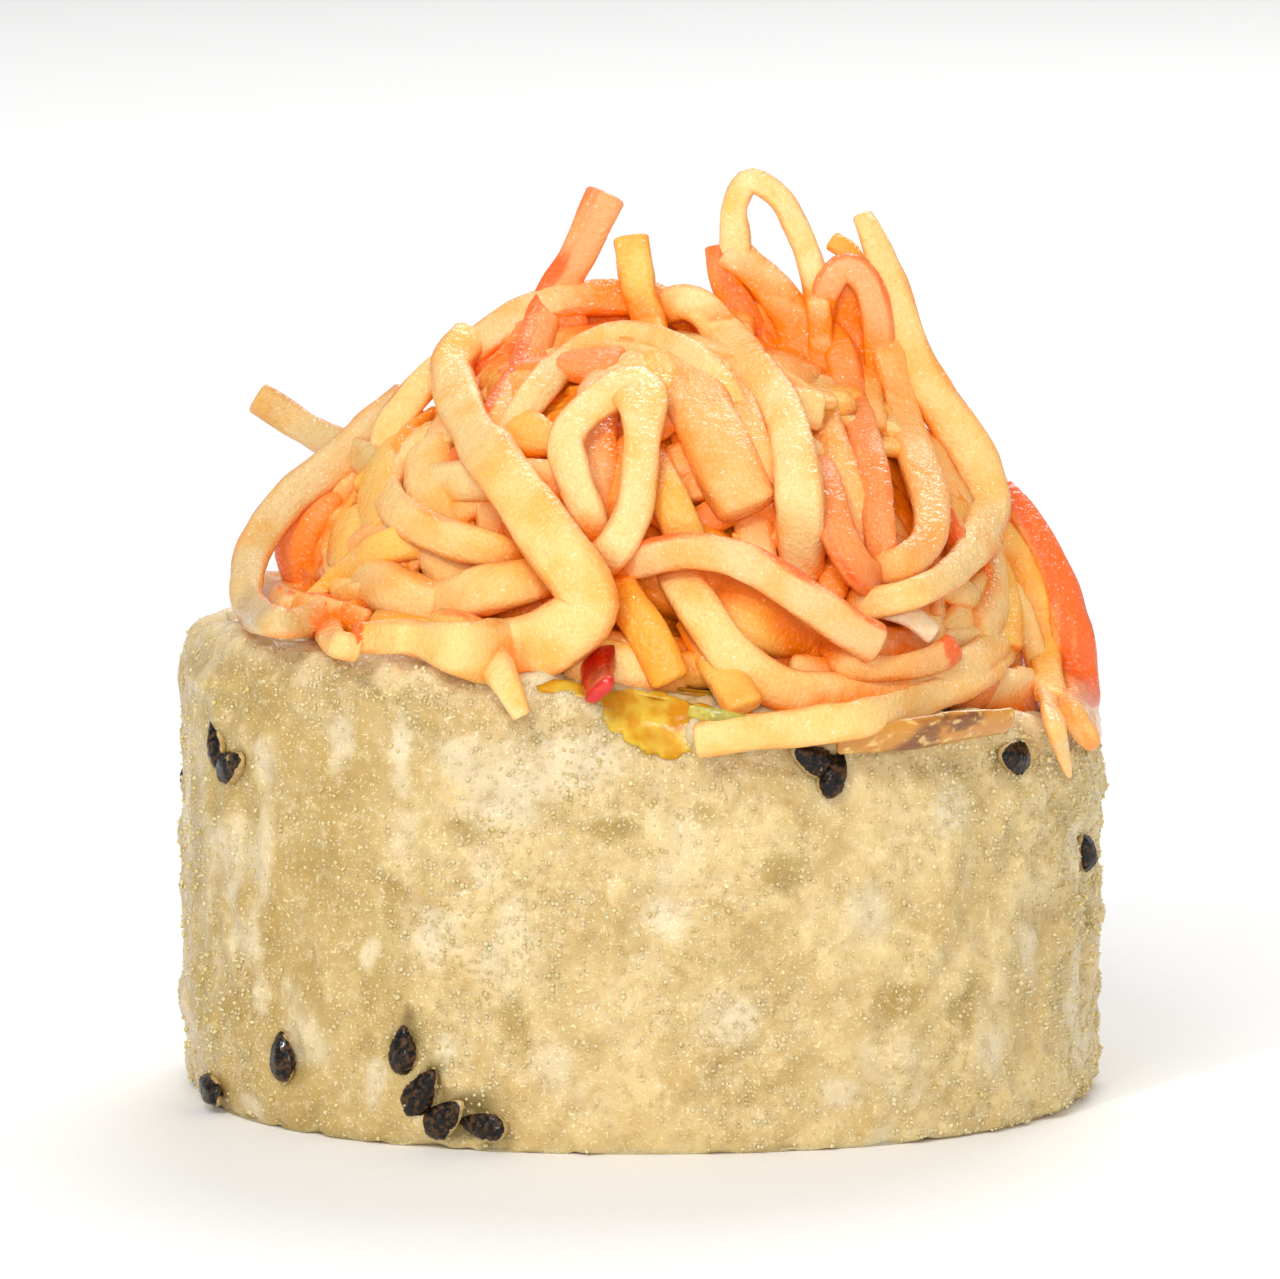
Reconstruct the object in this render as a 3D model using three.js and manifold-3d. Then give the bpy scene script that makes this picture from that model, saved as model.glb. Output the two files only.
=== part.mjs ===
// One slice of a fried inside-out sushi roll. It stands on a cut face: a thick ring of batter-coated
// rice with black sesame, a nori sheet inside it, strips of filling through its middle, and a loose
// heap of shredded crab stick in sauce on its upper cut face.
// Units are millimetres. +Z is up, +X is to the right and -Y is towards the eye. The origin is on the
// surface that the slice stands on, below the middle of the whole object.
import * as THREE from "three";
import { mergeVertices } from "three/addons/utils/BufferGeometryUtils.js";
import Module from "manifold-3d";

const wasm = await Module();
wasm.setup();

const { clamp, degToRad, radToDeg } = THREE.MathUtils;

// --- Driving dimensions ---------------------------------------------------------------------------

const GAP = 0.3; // between neighbouring pieces
const SEGMENTS = 60; // round the roll

// The roll's rounded plan: |x / halfLength|^power + |y / halfWidth|^power = 1, turned a little.
const PLAN = { halfLength: 23.7, halfWidth: 19.8, power: 2.2, turn: degToRad(4.5) };
const CUT = { height: 22, fallRight: 0.105, fallBack: 0.085 }; // height at the middle, and its slopes
const RICE = { wall: 4.4, rimDrop: 1.1, relief: 0.32 }; // the ring of rice and its batter
const WORN = { drop: 1.3, x: 7, halfWidth: 6.5 }; // the rim is lower at the front, right of the middle
const INSIDE = { x: 0.8, y: -1.5 }; // the nori and the fillings sit off the roll's middle
const NORI_THICKNESS = 0.5;
const SEED = { length: 3.1, width: 1.9, thickness: 1.3, sunk: 0.15 }; // a black sesame seed

// Seeds near the front: [degrees round the roll, height, degrees of tilt from upright].
const SEEDS = [
  [207, 19.3, 15], [211, 18.3, -65], [221, 3.9, 5], [204, 1.2, 80], [240, 5, -5], [242.5, 2.9, -35],
  [246, 1.7, -50], [251.5, 1.4, 85], [299, 19.9, 60], [302, 19.1, -20], [330, 19.1, 75],
];
// Seeds on the sides that SEEDS leaves free, in degrees round the roll and in height.
const SCATTER = { count: 14, start: 345, sweep: 200, low: 2.5, high: 17 };

// Each strip of filling is the part of the room inside the nori that lies in a range of x and of y.
// Its top stands above the cut.
const FILLINGS = {
  filling_pepper: { x: [-25, -0.6], y: [-25, -7], above: 1.2, colour: 0xb01c06 },
  filling_avocado: { x: [-0.3, 8.6], y: [-25, -7], above: 0.2, colour: 0xb9a72c },
  filling_cucumber: { x: [-25, 8.6], y: [-6.7, 25], above: 0, colour: 0x8fae3c },
  filling_omelette: { x: [8.9, 25], y: [-25, 25], above: 0.6, colour: 0x9c5d16 },
};

// The heap is a core with strands on it. A strand has a step for so many mm and degrees of bend, and
// its middle stays so far above the roll.
const CORE = { centre: [1, 0, 22], radii: [18.2, 14.6, 16.4], lumps: 0.6 };
const STRAND = { flatness: 0.8, sides: 5, step: 4.5, stepBend: 29, rest: 1.1 };

// The heap's front is drawn on a picture plane through the roll's foot, which an eye looks at from a
// little above. In that plane u is mm to the right of the foot, and v is mm up from it.
const EYE = { pitch: degToRad(8), distance: 500, u: 35.7, v: 25.8 };

// Strands at the heap's front: the width, then a route of [u, v, lift], where lift is how far the
// strand's middle lies in front of the core.
const STRANDS = {
  left_arch: [
    2, [-16.2, 23.9, -0.4], [-18, 23.4, 0.8], [-19.7, 23.1, 1], [-20.6, 23.9, 1], [-20.8, 25.2, 1],
    [-20.6, 26.8, 1], [-20, 28, 1], [-19.2, 29.3, 0.9], [-18.2, 30.5, 0.6], [-16.9, 31.5, 0.4],
    [-15.5, 32.6, 0.2], [-14.1, 33.8, 0], [-12.4, 35.2, -0.6],
  ],
  left_stub: [1.8, [-20.2, 35.3, -3], [-17.6, 33.7, -2.4], [-12.6, 31.2, -2]],
  front_loop: [
    2.5, [-9.2, 38.7, -0.2], [-10.2, 37, 2], [-9.4, 34.4, 3], [-7.8, 32, 3.8], [-6.2, 29.9, 4],
    [-4.6, 27.6, 4.1], [-3.1, 25.4, 4.2], [-2.7, 24, 4.2], [-3.8, 22.6, 4.2], [-6.4, 22.1, 4.2],
    [-9.7, 22.4, 4.2], [-12.4, 22.9, 4], [-15, 22.9, 3.6],
  ],
  shoulder_outer: [
    1.9, [3.5, 38.6, -1], [1, 40.3, 0], [-1.2, 40.7, 0], [-5, 40.4, 0], [-8.3, 38.6, 0],
    [-10.7, 36.2, -0.4],
  ],
  shoulder_orange: [
    1.9, [0.4, 37.6, -1], [-4, 38.4, 1], [-6.1, 36.9, 1.4], [-7.9, 34.4, 1.4], [-9.9, 31.5, -0.6],
  ],
  shoulder_inner: [
    1.8, [5.6, 31.8, -0.6], [3.9, 35.8, 1.6], [1.8, 37.7, 2.2], [-1.1, 38.5, 2.2],
    [-3.7, 37.7, 2.2], [-5.8, 35.7, 1.8], [-7.9, 32.4, -0.6],
  ],
  mid_loop: [
    1.9, [-9.4, 37.8, -0.6], [-11.6, 36.1, 1.2], [-13.2, 34, 1.8], [-13.7, 32, 2.2],
    [-13.1, 29.7, 2.4], [-10.8, 28.3, 2.4], [-8, 27.5, 2], [-5, 26.4, -0.6],
  ],
  diamond: [
    2, [-2.2, 27, -0.6], [-2.8, 29, 1.8], [-3.6, 31, 2.4], [-4.2, 33.1, 2.6], [-3.3, 34.6, 2.9],
    [-1.6, 35.8, 3], [-0.5, 36, 3], [-0.2, 34.4, 3], [-0.3, 32.2, 3], [-0.6, 29.6, 3],
    [-1.8, 27.5, 2.8], [-3.6, 26.2, -0.6],
  ],
  crown: [
    2.3, [-0.4, 39.4, -1], [1.4, 40.4, 0.6], [2.6, 40.2, 1.2], [4, 38.8, 1.8], [5.6, 36.9, 2.4],
    [7, 34.7, 2.8], [7.7, 32.4, 3], [8, 30.2, 3], [8.1, 26.4, -0.4],
  ],
  orange_stub: [1.8, [-2.3, 45.9, 0], [-3.7, 42.8, 0], [-5.2, 40.2, 0], [-6.9, 35, 0]],
  yellow_stub: [
    2, [-0.9, 43.7, 0.4], [-0.6, 41.6, 0.8], [0.1, 39.2, 1.4], [0.6, 36.4, 0.6], [0.8, 33.4, -0.6],
  ],
  top_loop: [
    1.6, [4.6, 37, -0.6], [4.6, 40.6, 0], [4.5, 43.7, 0], [4.45, 45.4, 0], [5.25, 46.8, 0],
    [6.75, 45.95, 0], [7.65, 44.5, 0], [8.2, 43.2, 0], [8.7, 41.4, 0.3], [9, 38.6, 1],
    [9, 36.6, 1.6], [8.9, 35.4, 1.9],
  ],
  loop_left: [
    1.8, [3.5, 43.3, -0.2], [3.8, 41.8, 0], [4.9, 39.9, 0.6], [6.1, 37.7, 0.9], [7.2, 34.6, -0.4],
  ],
  loop_web: [2.1, [4.3, 43.1, 0], [5.6, 42, 0], [6.7, 40.9, 0.2], [7.7, 39.4, 0.4], [8, 36.8, -0.6]],
  loop_fill: [2.7, [6, 40.2, 0], [6.8, 37.8, 0.6], [7.4, 34.4, -0.4]],
  loop_step: [2.2, [5.6, 34.9, 0.4], [7, 35.2, 1.9], [8.9, 34.9, 2.3]],
  right_tip: [
    2, [11.1, 45, -0.4], [11.5, 44.2, 0], [12.3, 42.2, 0], [13.2, 39.4, 0.3], [14.2, 36.9, 0.7],
    [15.6, 34.7, 1.1], [17.1, 32.4, 1.5], [17.7, 30, 2], [17.1, 28, 3], [15.7, 26.4, 3.7],
    [13.9, 25.5, 3.8], [11.8, 25, 2], [10.2, 25, -0.6],
  ],
  right_inner: [
    2, [11.6, 40.6, -0.6], [12.5, 38, 0.8], [13.3, 35, 1.6], [14.1, 32.3, 2.3], [14.8, 30, 2.9],
    [14.6, 28.2, 3.1], [13.3, 27, 3.1], [11.4, 26.8, 0.6],
  ],
  tip_arch: [
    1.6, [8.8, 38.6, -0.4], [9.2, 41, 0.5], [10.2, 42.3, 0.6], [11.3, 41.6, 0.7], [11.9, 39.8, 0.9],
    [12.1, 36.4, 0.8],
  ],
  pink_strand: [
    1.7, [8.8, 39.4, -0.6], [9.9, 38.2, 1], [10.6, 35.6, 1.7], [11.4, 33, 2.2], [11.9, 30.6, 2.5],
    [12.2, 28, 2.4], [12.3, 25.2, -0.6],
  ],
  pink_left: [2, [8.8, 35.4, -0.4], [9.6, 32.8, 0.9], [10.5, 30.2, 1.3], [11.4, 27, 0.8]],
  pink_short: [
    1.8, [8.4, 33, -0.4], [9.2, 31.2, 1.8], [9.9, 28.8, 2.5], [11.2, 26.6, 2.6], [12.9, 25.9, 0],
  ],
  diagonal: [
    1.9, [-3.4, 26.2, -0.6], [-0.6, 27, 1.8], [2.1, 27.6, 3], [4.7, 27.2, 3.8], [7, 26.1, 4.2],
    [9.1, 24.7, 4.4], [10.7, 23.6, 4.5], [12, 22.9, 4.5],
  ],
  hook: [
    1.4, [9.4, 23.6, -0.6], [10.2, 22, 3], [11.6, 21.6, 3.8], [13.6, 21.7, 4], [15.3, 22.2, 3.8],
    [16, 22.7, 3.6],
  ],
  base_front: [
    1.8, [2.9, 17.8, 4], [5, 18.1, 4], [8.2, 18.5, 4], [11.8, 18.9, 4], [15.2, 19.9, 3.8],
    [17.8, 21.3, 3], [19, 23.6, 0],
  ],
  base_back: [
    2.1, [1, 27.6, -0.6], [2.3, 25.4, 2], [3.5, 23.5, 2.8], [5.2, 21.6, 3.2], [7.6, 20.4, 3.4],
    [10.9, 20.1, 3.4], [14.3, 20.8, 3.2], [17.4, 22.2, 2.6], [19, 24.6, -0.2],
  ],
  base_drop: [2, [2.6, 24, 1], [3.9, 21.6, 2.6], [5.2, 19.6, 3.2]],
  hang_orange: [
    2.1, [16.5, 32.2, -3], [19, 30.3, -1.4], [20.4, 28.3, -0.4], [21.5, 26, 0.4], [22.2, 23.4, 1],
    [22.55, 20.9, 1], [22.6, 18.8, 1],
  ],
  hang_cream: [
    1.8, [16.4, 30, -2], [18.8, 27.9, 0], [20, 25.4, 1], [20.7, 22.6, 1.6], [21.1, 20.2, 1.8],
  ],
  hang_thin: [
    1.4, [16.6, 28.4, -1], [19.4, 24.6, 2], [20.6, 21.4, 3], [21.3, 19, 4], [21.8, 17.2, 4.2],
    [22.1, 16.2, 4.2],
  ],
  rim_tab: [1.8, [-9, 24, -0.6], [-7.2, 21, 3], [-6.4, 19.8, 4.4], [-5.9, 18.8, 5]],
  left_taper: [1.8, [-9, 28.3, -0.6], [-13.3, 27.7, 2], [-16, 26.1, 2.2], [-18.4, 24.2, 1.6]],
  left_inner: [
    1.8, [-14.2, 33.4, -0.8], [-15.7, 31, 0.4], [-16, 28.6, 0.8], [-15.8, 26, 1.4],
    [-14, 23.6, -0.4],
  ],
  left_flat: [2.7, [-16.2, 26.6, -0.6], [-13.4, 25.4, 2], [-11, 24.4, 1.4]],
  mid_cream: [2.4, [-12.2, 23.9, -0.4], [-9.2, 25.2, 2.4], [-6, 26, 2], [-3.6, 26.8, -0.6]],
  centre_low: [2.1, [-2.4, 27.2, -0.6], [-1, 25, 2], [0.2, 23.2, 2.9], [1.3, 21, 3.2]],
  centre_broad: [3.2, [1.4, 37.4, 0.6], [2.7, 35, 1.3], [3.9, 32.6, 1.6], [5.2, 30, 1.5]],
  behind_loop: [2.3, [-13.6, 30.6, -1], [-9, 31.1, 1.4], [-5.1, 31.1, 1.4], [-0.6, 30.4, -1]],
  centre_thin: [2, [0, 33, -0.8], [1.3, 30, 1.7], [3, 26.4, -0.4]],
  centre_mass: [3.2, [2.8, 26.6, -1], [5.6, 24.4, 1.4], [9.2, 23, -0.6]],
  right_fill: [2, [16, 29.4, -0.8], [18.3, 26.4, 1.2], [18.7, 23, 1.8]],
};

// Strands behind and beside these start evenly spread over the core and wander along it. The numbers
// with from and to are the range of a start, in degrees round the core and as a share of its height.
const LOOSE = {
  count: 16,
  sides: 4,
  width: [1.5, 2.2],
  lift: [0.5, 2.8],
  turn: [-5, 185],
  height: [0.08, 0.88],
  points: 6,
  reach: 4,
  bend: 36,
  front: -0.1,
};

// --- Helpers --------------------------------------------------------------------------------------

// A repeatable random number from 0 to 1.
function randomFrom(seed) {
  let state = seed >>> 0;
  return () => {
    state = (Math.imul(state, 1664525) + 1013904223) >>> 0;
    return state / 2 ** 32;
  };
}

const mix = ([from, to], share) => from + (to - from) * share;

// How far the roll's surface is from its axis at an angle, inset by a distance from the outside.
function planRadius(angle, inset) {
  const a = angle - PLAN.turn;
  const x = Math.abs(Math.cos(a) / (PLAN.halfLength - inset));
  const y = Math.abs(Math.sin(a) / (PLAN.halfWidth - inset));
  return (x ** PLAN.power + y ** PLAN.power) ** (-1 / PLAN.power);
}

// A point of the plan. It drifts off the middle with the inset, so the wall isn't the same all round.
function planPoint(angle, inset, outwards = 0) {
  const radius = planRadius(angle, inset) + outwards;
  const drift = clamp(inset / RICE.wall, 0, 1);
  return new THREE.Vector2(
    radius * Math.cos(angle) + drift * INSIDE.x,
    radius * Math.sin(angle) + drift * INSIDE.y,
  );
}

const cutHeight = (x, y) => CUT.height - CUT.fallRight * x - CUT.fallBack * y;

// How much lower the rim is where it is worn.
const wornBy = (x, y) => (y < 0 ? WORN.drop * Math.exp(-(((x - WORN.x) / WORN.halfWidth) ** 2)) : 0);

// Lumps of rice and batter, from -1 to 1.
function lumps(p) {
  const slow = Math.sin(0.9 * p.x + 1.7 * Math.sin(0.31 * p.z)) * Math.sin(0.8 * p.y + 0.9);
  const quick = Math.sin(1.9 * p.x + 0.4) * Math.sin(1.7 * p.y + 0.8 * p.z) * Math.sin(1.6 * p.z + 1.1);
  return 0.45 * slow + 0.55 * quick;
}

function manifoldOf(geometry) {
  const bare = new THREE.BufferGeometry();
  bare.setAttribute("position", geometry.getAttribute("position"));
  bare.setIndex(geometry.index);
  const merged = mergeVertices(bare, 1e-4);
  return new wasm.Manifold(
    new wasm.Mesh({
      numProp: 3,
      vertProperties: new Float32Array(merged.attributes.position.array),
      triVerts: new Uint32Array(merged.index.array),
    }),
  );
}

function geometryOf(manifold) {
  const mesh = manifold.getMesh();
  const geometry = new THREE.BufferGeometry();
  geometry.setAttribute("position", new THREE.BufferAttribute(mesh.vertProperties, 3));
  geometry.setIndex(new THREE.BufferAttribute(mesh.triVerts, 1));
  geometry.computeVertexNormals();
  return geometry;
}

// The largest body of a union, so sealed hollows are filled and loose scraps dropped.
function oneBody(manifold) {
  const bodies = manifold.simplify(0.02).decompose();
  return bodies.reduce((best, body) => (body.volume() > best.volume() ? body : best));
}

// --- The roll -------------------------------------------------------------------------------------

// A closed ring that follows the roll's plan. The profile's points are [inset, share of the cut's
// height, mm above that]. Only the outer side has relief.
function rollRing(profile, relief) {
  const ring = new THREE.LatheGeometry(
    profile.map(([inset, share]) => new THREE.Vector2(PLAN.halfLength - inset, share * CUT.height)),
    SEGMENTS,
  ).rotateX(Math.PI / 2);
  const position = ring.attributes.position;
  const p = new THREE.Vector3();
  for (let i = 0; i < position.count; i++) {
    const [inset, share, above = 0] = profile[i % profile.length];
    p.fromBufferAttribute(position, i);
    const isOuter = inset < RICE.wall / 2 && share > 0;
    const outwards = isOuter ? relief * (lumps(p) - 0.4) : 0;
    const { x, y } = planPoint(Math.atan2(p.y, p.x), inset, outwards);
    const rimShare = share < 0.6 ? 0 : 1 - clamp(inset / RICE.wall, 0, 1);
    position.setXYZ(i, x, y, share * cutHeight(x, y) + above - rimShare * wornBy(x, y));
  }
  return ring;
}

// The roll's plan filled in, inset by a distance, up to a height above the cut.
function rollBlock(inset, above) {
  const outline = Array.from({ length: SEGMENTS }, (_, i) => planPoint((i / SEGMENTS) * 2 * Math.PI, inset));
  const block = new THREE.ExtrudeGeometry(new THREE.Shape(outline), {
    depth: 1,
    steps: 1,
    bevelEnabled: false,
  });
  const position = block.attributes.position;
  for (let i = 0; i < position.count; i++) {
    const top = cutHeight(position.getX(i), position.getY(i)) + above;
    position.setZ(i, position.getZ(i) * top);
  }
  return manifoldOf(block);
}

function sesameSeed([angleDegrees, height, tiltDegrees]) {
  const angle = degToRad(angleDegrees);
  const radius = planRadius(angle, 0) - SEED.sunk;
  return new THREE.SphereGeometry(0.5, 6, 4)
    .scale(SEED.thickness, SEED.width, SEED.length)
    .rotateX(degToRad(tiltDegrees))
    .rotateZ(angle)
    .translate(radius * Math.cos(angle), radius * Math.sin(angle), height);
}

function scatteredSeeds() {
  const random = randomFrom(5);
  const spacing = SCATTER.sweep / SCATTER.count;
  return Array.from({ length: SCATTER.count }, (_, i) => [
    SCATTER.start + (i + mix([0.2, 0.8], random())) * spacing,
    mix([SCATTER.low, SCATTER.high], random()),
    180 * random(),
  ]);
}

// The ring of rice, rounded at both ends, with its seeds.
function riceRing() {
  const profile = [
    [0.9, 0], [0.15, 0.05], [0, 0.17], [0, 0.34], [0, 0.51], [0, 0.68], [0, 0.85],
    [0.35, 1, -RICE.rimDrop], [1.3, 1, -0.25], [2.6, 1, 0.1], [3.8, 1, 0.1], [RICE.wall, 1],
    [RICE.wall, 0.5], [RICE.wall, 0], [2.8, 0],
  ];
  profile.push(profile[0]);
  const ring = manifoldOf(rollRing(profile, RICE.relief));
  const seeds = [...SEEDS, ...scatteredSeeds()].map((seed) => manifoldOf(sesameSeed(seed)));
  const floor = manifoldOf(new THREE.BoxGeometry(80, 80, 10).translate(0, 0, -5));
  return geometryOf(oneBody(wasm.Manifold.union([ring, ...seeds]).subtract(floor)));
}

// The nori inside the rice. It stops just above the surface that the slice stands on.
function noriSheet() {
  const outside = RICE.wall + GAP;
  const inside = outside + NORI_THICKNESS;
  const foot = [outside, 0, GAP];
  return rollRing([foot, [outside, 1, 0.2], [inside, 1, 0.2], [inside, 0, GAP], foot], 0);
}

function fillingStrip({ x, y, above }) {
  const slab = new THREE.BoxGeometry(x[1] - x[0], y[1] - y[0], 80);
  slab.translate(mix(x, 0.5), mix(y, 0.5), 0);
  const room = rollBlock(RICE.wall + NORI_THICKNESS + 2 * GAP, above);
  return geometryOf(room.intersect(manifoldOf(slab)));
}

// --- The heap -------------------------------------------------------------------------------------

const coreCentre = new THREE.Vector3(...CORE.centre);
const coreRadii = new THREE.Vector3(...CORE.radii);

const viewRight = new THREE.Vector3(1, 0, 0);
const viewForward = new THREE.Vector3(0, Math.cos(EYE.pitch), -Math.sin(EYE.pitch));
const viewUp = new THREE.Vector3(0, Math.sin(EYE.pitch), Math.cos(EYE.pitch));
const inPicture = (u, v) => viewRight.clone().multiplyScalar(u).addScaledVector(viewUp, v);
const eyePoint = inPicture(EYE.u, EYE.v).addScaledVector(viewForward, -EYE.distance);

// Whether a strand's middle can be here, in front of the roll or above it.
function isClearOfRoll(p) {
  const outside = Math.hypot(p.x, p.y) - planRadius(Math.atan2(p.y, p.x), 0);
  const worn = outside > -RICE.wall / 2 ? wornBy(p.x, p.y) : 0;
  return outside > STRAND.rest || p.z > cutHeight(p.x, p.y) - worn + STRAND.rest;
}

// The point seen at (u, v) that lies a lift in front of the core, or beside the core a lift in front of
// the plane through its middle. What would be inside the roll comes forward until it is clear.
function drawnPoint([u, v, lift]) {
  const ray = inPicture(u, v).sub(eyePoint).normalize();
  const from = eyePoint.clone().sub(coreCentre).divide(coreRadii);
  const along = ray.clone().divide(coreRadii);
  const a = along.dot(along);
  const b = from.dot(along);
  const c = from.dot(from) - 1;
  const reach = (-b - Math.sqrt(Math.max(0, b * b - a * c))) / a;
  const p = eyePoint.clone().addScaledVector(ray, reach - lift);
  while (!isClearOfRoll(p)) {
    p.addScaledVector(ray, -0.25);
  }
  return p;
}

// The core's point in a direction, raised by a lift, and never inside the roll.
function pointOnCore(direction, lift) {
  const p = direction.clone().multiply(coreRadii).add(coreCentre);
  p.addScaledVector(direction.clone().divide(coreRadii).normalize(), lift);
  p.z = Math.max(p.z, cutHeight(p.x, p.y) + STRAND.rest);
  return p;
}

function strand(width, points, sides) {
  const curve = new THREE.CatmullRomCurve3(points, false, "catmullrom", 0.5);
  const section = new THREE.Shape(
    Array.from({ length: sides }, (_, i) => {
      const angle = ((i + 0.5) / sides) * 2 * Math.PI;
      const radius = width / 2;
      return new THREE.Vector2(radius * STRAND.flatness * Math.cos(angle), radius * Math.sin(angle));
    }),
  );
  const headings = Array.from({ length: 25 }, (_, i) => curve.getTangentAt(i / 24));
  const bend = headings.slice(1).reduce((sum, heading, i) => sum + heading.angleTo(headings[i]), 0);
  const steps = Math.round(
    Math.max(3, curve.getLength() / STRAND.step, radToDeg(bend) / STRAND.stepBend),
  );
  return manifoldOf(
    new THREE.ExtrudeGeometry(section, { steps, extrudePath: curve, bevelEnabled: false }),
  );
}

// A strand that wanders along the core. One that comes round to the front ends inside the core.
function looseStrand(index, random) {
  const turn = degToRad(mix(LOOSE.turn, (index * 0.618) % 1));
  const height = mix(LOOSE.height, (index + 0.5) / LOOSE.count);
  const flat = Math.sqrt(1 - height * height);
  const direction = new THREE.Vector3(flat * Math.cos(turn), flat * Math.sin(turn), height);
  const heading = new THREE.Vector3(random() - 0.5, random() - 0.5, 0.6 * (random() - 0.5));
  heading.projectOnPlane(direction).normalize();
  const width = mix(LOOSE.width, random());
  const bend = degToRad(LOOSE.bend) * (2 * random() - 1);
  const angle = LOOSE.reach / CORE.radii[0];
  const points = [];
  while (points.length < 3 || (points.length < LOOSE.points && direction.y > LOOSE.front)) {
    const lift = direction.y > LOOSE.front ? mix(LOOSE.lift, random()) : 0;
    points.push(pointOnCore(direction, lift));
    const axis = direction.clone().cross(heading).normalize();
    direction.applyAxisAngle(axis, angle).normalize();
    heading.applyAxisAngle(axis, angle).applyAxisAngle(direction, bend);
    heading.projectOnPlane(direction).normalize();
  }
  return strand(width, points, LOOSE.sides);
}

function heapCore() {
  const core = new THREE.SphereGeometry(1, 20, 12).rotateX(Math.PI / 2);
  const position = core.attributes.position;
  const direction = new THREE.Vector3();
  for (let i = 0; i < position.count; i++) {
    direction.fromBufferAttribute(position, i);
    const lump = Math.sin(5 * direction.x + 2) * Math.sin(7 * direction.y + 4 * direction.z);
    const p = direction.clone().multiplyScalar(1 + (CORE.lumps * lump) / CORE.radii[0]);
    p.multiply(coreRadii).add(coreCentre);
    position.setXYZ(i, p.x, p.y, p.z);
  }
  return core;
}

// What the heap keeps clear of: the roll, out to its relief, and the fillings that stand proud.
function rollEnvelope() {
  const proud = Math.max(...Object.values(FILLINGS).map(({ above }) => above)) + GAP;
  const out = -RICE.relief - GAP;
  const foot = [out, -0.1];
  const rim = [[out, 1, 1.2 * GAP - RICE.rimDrop], [0.9, 1, GAP], [2, 1, 2 * GAP], [RICE.wall, 1, 2 * GAP]];
  const ring = manifoldOf(rollRing([foot, ...rim, [RICE.wall, -0.1], foot], 0));
  return ring.add(rollBlock(RICE.wall - 0.1, proud));
}

function crabHeap() {
  const random = randomFrom(11);
  const drawn = Object.values(STRANDS).map(([width, ...route]) =>
    strand(width, route.map(drawnPoint), STRAND.sides),
  );
  const loose = Array.from({ length: LOOSE.count }, (_, i) => looseStrand(i, random));
  const heap = wasm.Manifold.union([manifoldOf(heapCore()), ...drawn, ...loose]);
  return geometryOf(oneBody(heap.subtract(rollEnvelope())));
}

// --- The object -----------------------------------------------------------------------------------

function piece(name, geometry, color, roughness) {
  const material = new THREE.MeshStandardMaterial({ color, roughness, metalness: 0 });
  const mesh = new THREE.Mesh(geometry, material);
  mesh.name = name;
  return mesh;
}

const sushi = new THREE.Group();
sushi.add(piece("rice_ring", riceRing(), 0xe0cf9c, 0.55));
sushi.add(piece("nori_sheet", noriSheet(), 0x1c2216, 0.5));
for (const [name, filling] of Object.entries(FILLINGS)) {
  sushi.add(piece(name, fillingStrip(filling), filling.colour, 0.3));
}
sushi.add(piece("crab_heap", crabHeap(), 0xf4c77c, 0.35));

// The object's box is centred on the origin.
const middle = new THREE.Box3().setFromObject(sushi).getCenter(new THREE.Vector3());
sushi.position.set(-middle.x, -middle.y, 0);

export default sushi;
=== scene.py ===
"""A slice of fried inside-out sushi roll under a heap of shredded crab stick in sauce.

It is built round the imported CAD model, whose seven nodes it replaces with finer pieces of the same form.
Lengths are in millimetres and places are measured from the roll's axis, until a mesh is made.
"""

import math

import bpy
import numpy as np
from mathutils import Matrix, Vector


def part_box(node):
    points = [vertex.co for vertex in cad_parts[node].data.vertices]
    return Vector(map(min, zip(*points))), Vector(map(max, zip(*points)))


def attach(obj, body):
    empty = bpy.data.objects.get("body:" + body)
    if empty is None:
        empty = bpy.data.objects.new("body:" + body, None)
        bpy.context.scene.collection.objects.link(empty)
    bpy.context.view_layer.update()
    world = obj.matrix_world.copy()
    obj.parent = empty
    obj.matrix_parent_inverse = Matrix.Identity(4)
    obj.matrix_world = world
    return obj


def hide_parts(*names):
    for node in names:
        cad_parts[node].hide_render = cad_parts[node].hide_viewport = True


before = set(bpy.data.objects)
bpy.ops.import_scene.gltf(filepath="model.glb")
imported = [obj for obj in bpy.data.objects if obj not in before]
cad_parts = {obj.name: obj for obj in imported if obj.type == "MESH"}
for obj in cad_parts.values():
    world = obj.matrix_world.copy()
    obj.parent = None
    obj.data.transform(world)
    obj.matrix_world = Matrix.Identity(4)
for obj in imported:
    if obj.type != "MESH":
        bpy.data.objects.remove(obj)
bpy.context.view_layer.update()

# --- The roll's form, as in the CAD part -----------------------------------------------------------

MM = 0.001
GAP = 0.3  # between the ring, the nori and the fillings
HALF_LENGTH, HALF_WIDTH, POWER = 23.7, 19.8, 2.2  # the superellipse of its plan
TURN = math.radians(4.5)  # that the plan is turned by
CUT_HEIGHT, FALL_RIGHT, FALL_BACK = 22, 0.105, 0.085  # height of the cut, and how it slopes down
WALL, RIM_DROP, RELIEF = 4.4, 1.1, 0.32
WORN_DROP, WORN_X, WORN_WIDTH = 1.3, 7, 6.5  # the dip of the rim at the front
INSIDE_X, INSIDE_Y = 0.8, -1.5  # how far the room inside lies off the middle
NORI_THICKNESS = 0.5
MEAN_RADIUS = (HALF_LENGTH + HALF_WIDTH) / 2
AROUND = 2 * math.pi * MEAN_RADIUS

SEED_LENGTH, SEED_WIDTH, SEED_THICKNESS, SEED_SUNK = 3.1, 1.9, 1.3, 0.15
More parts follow.
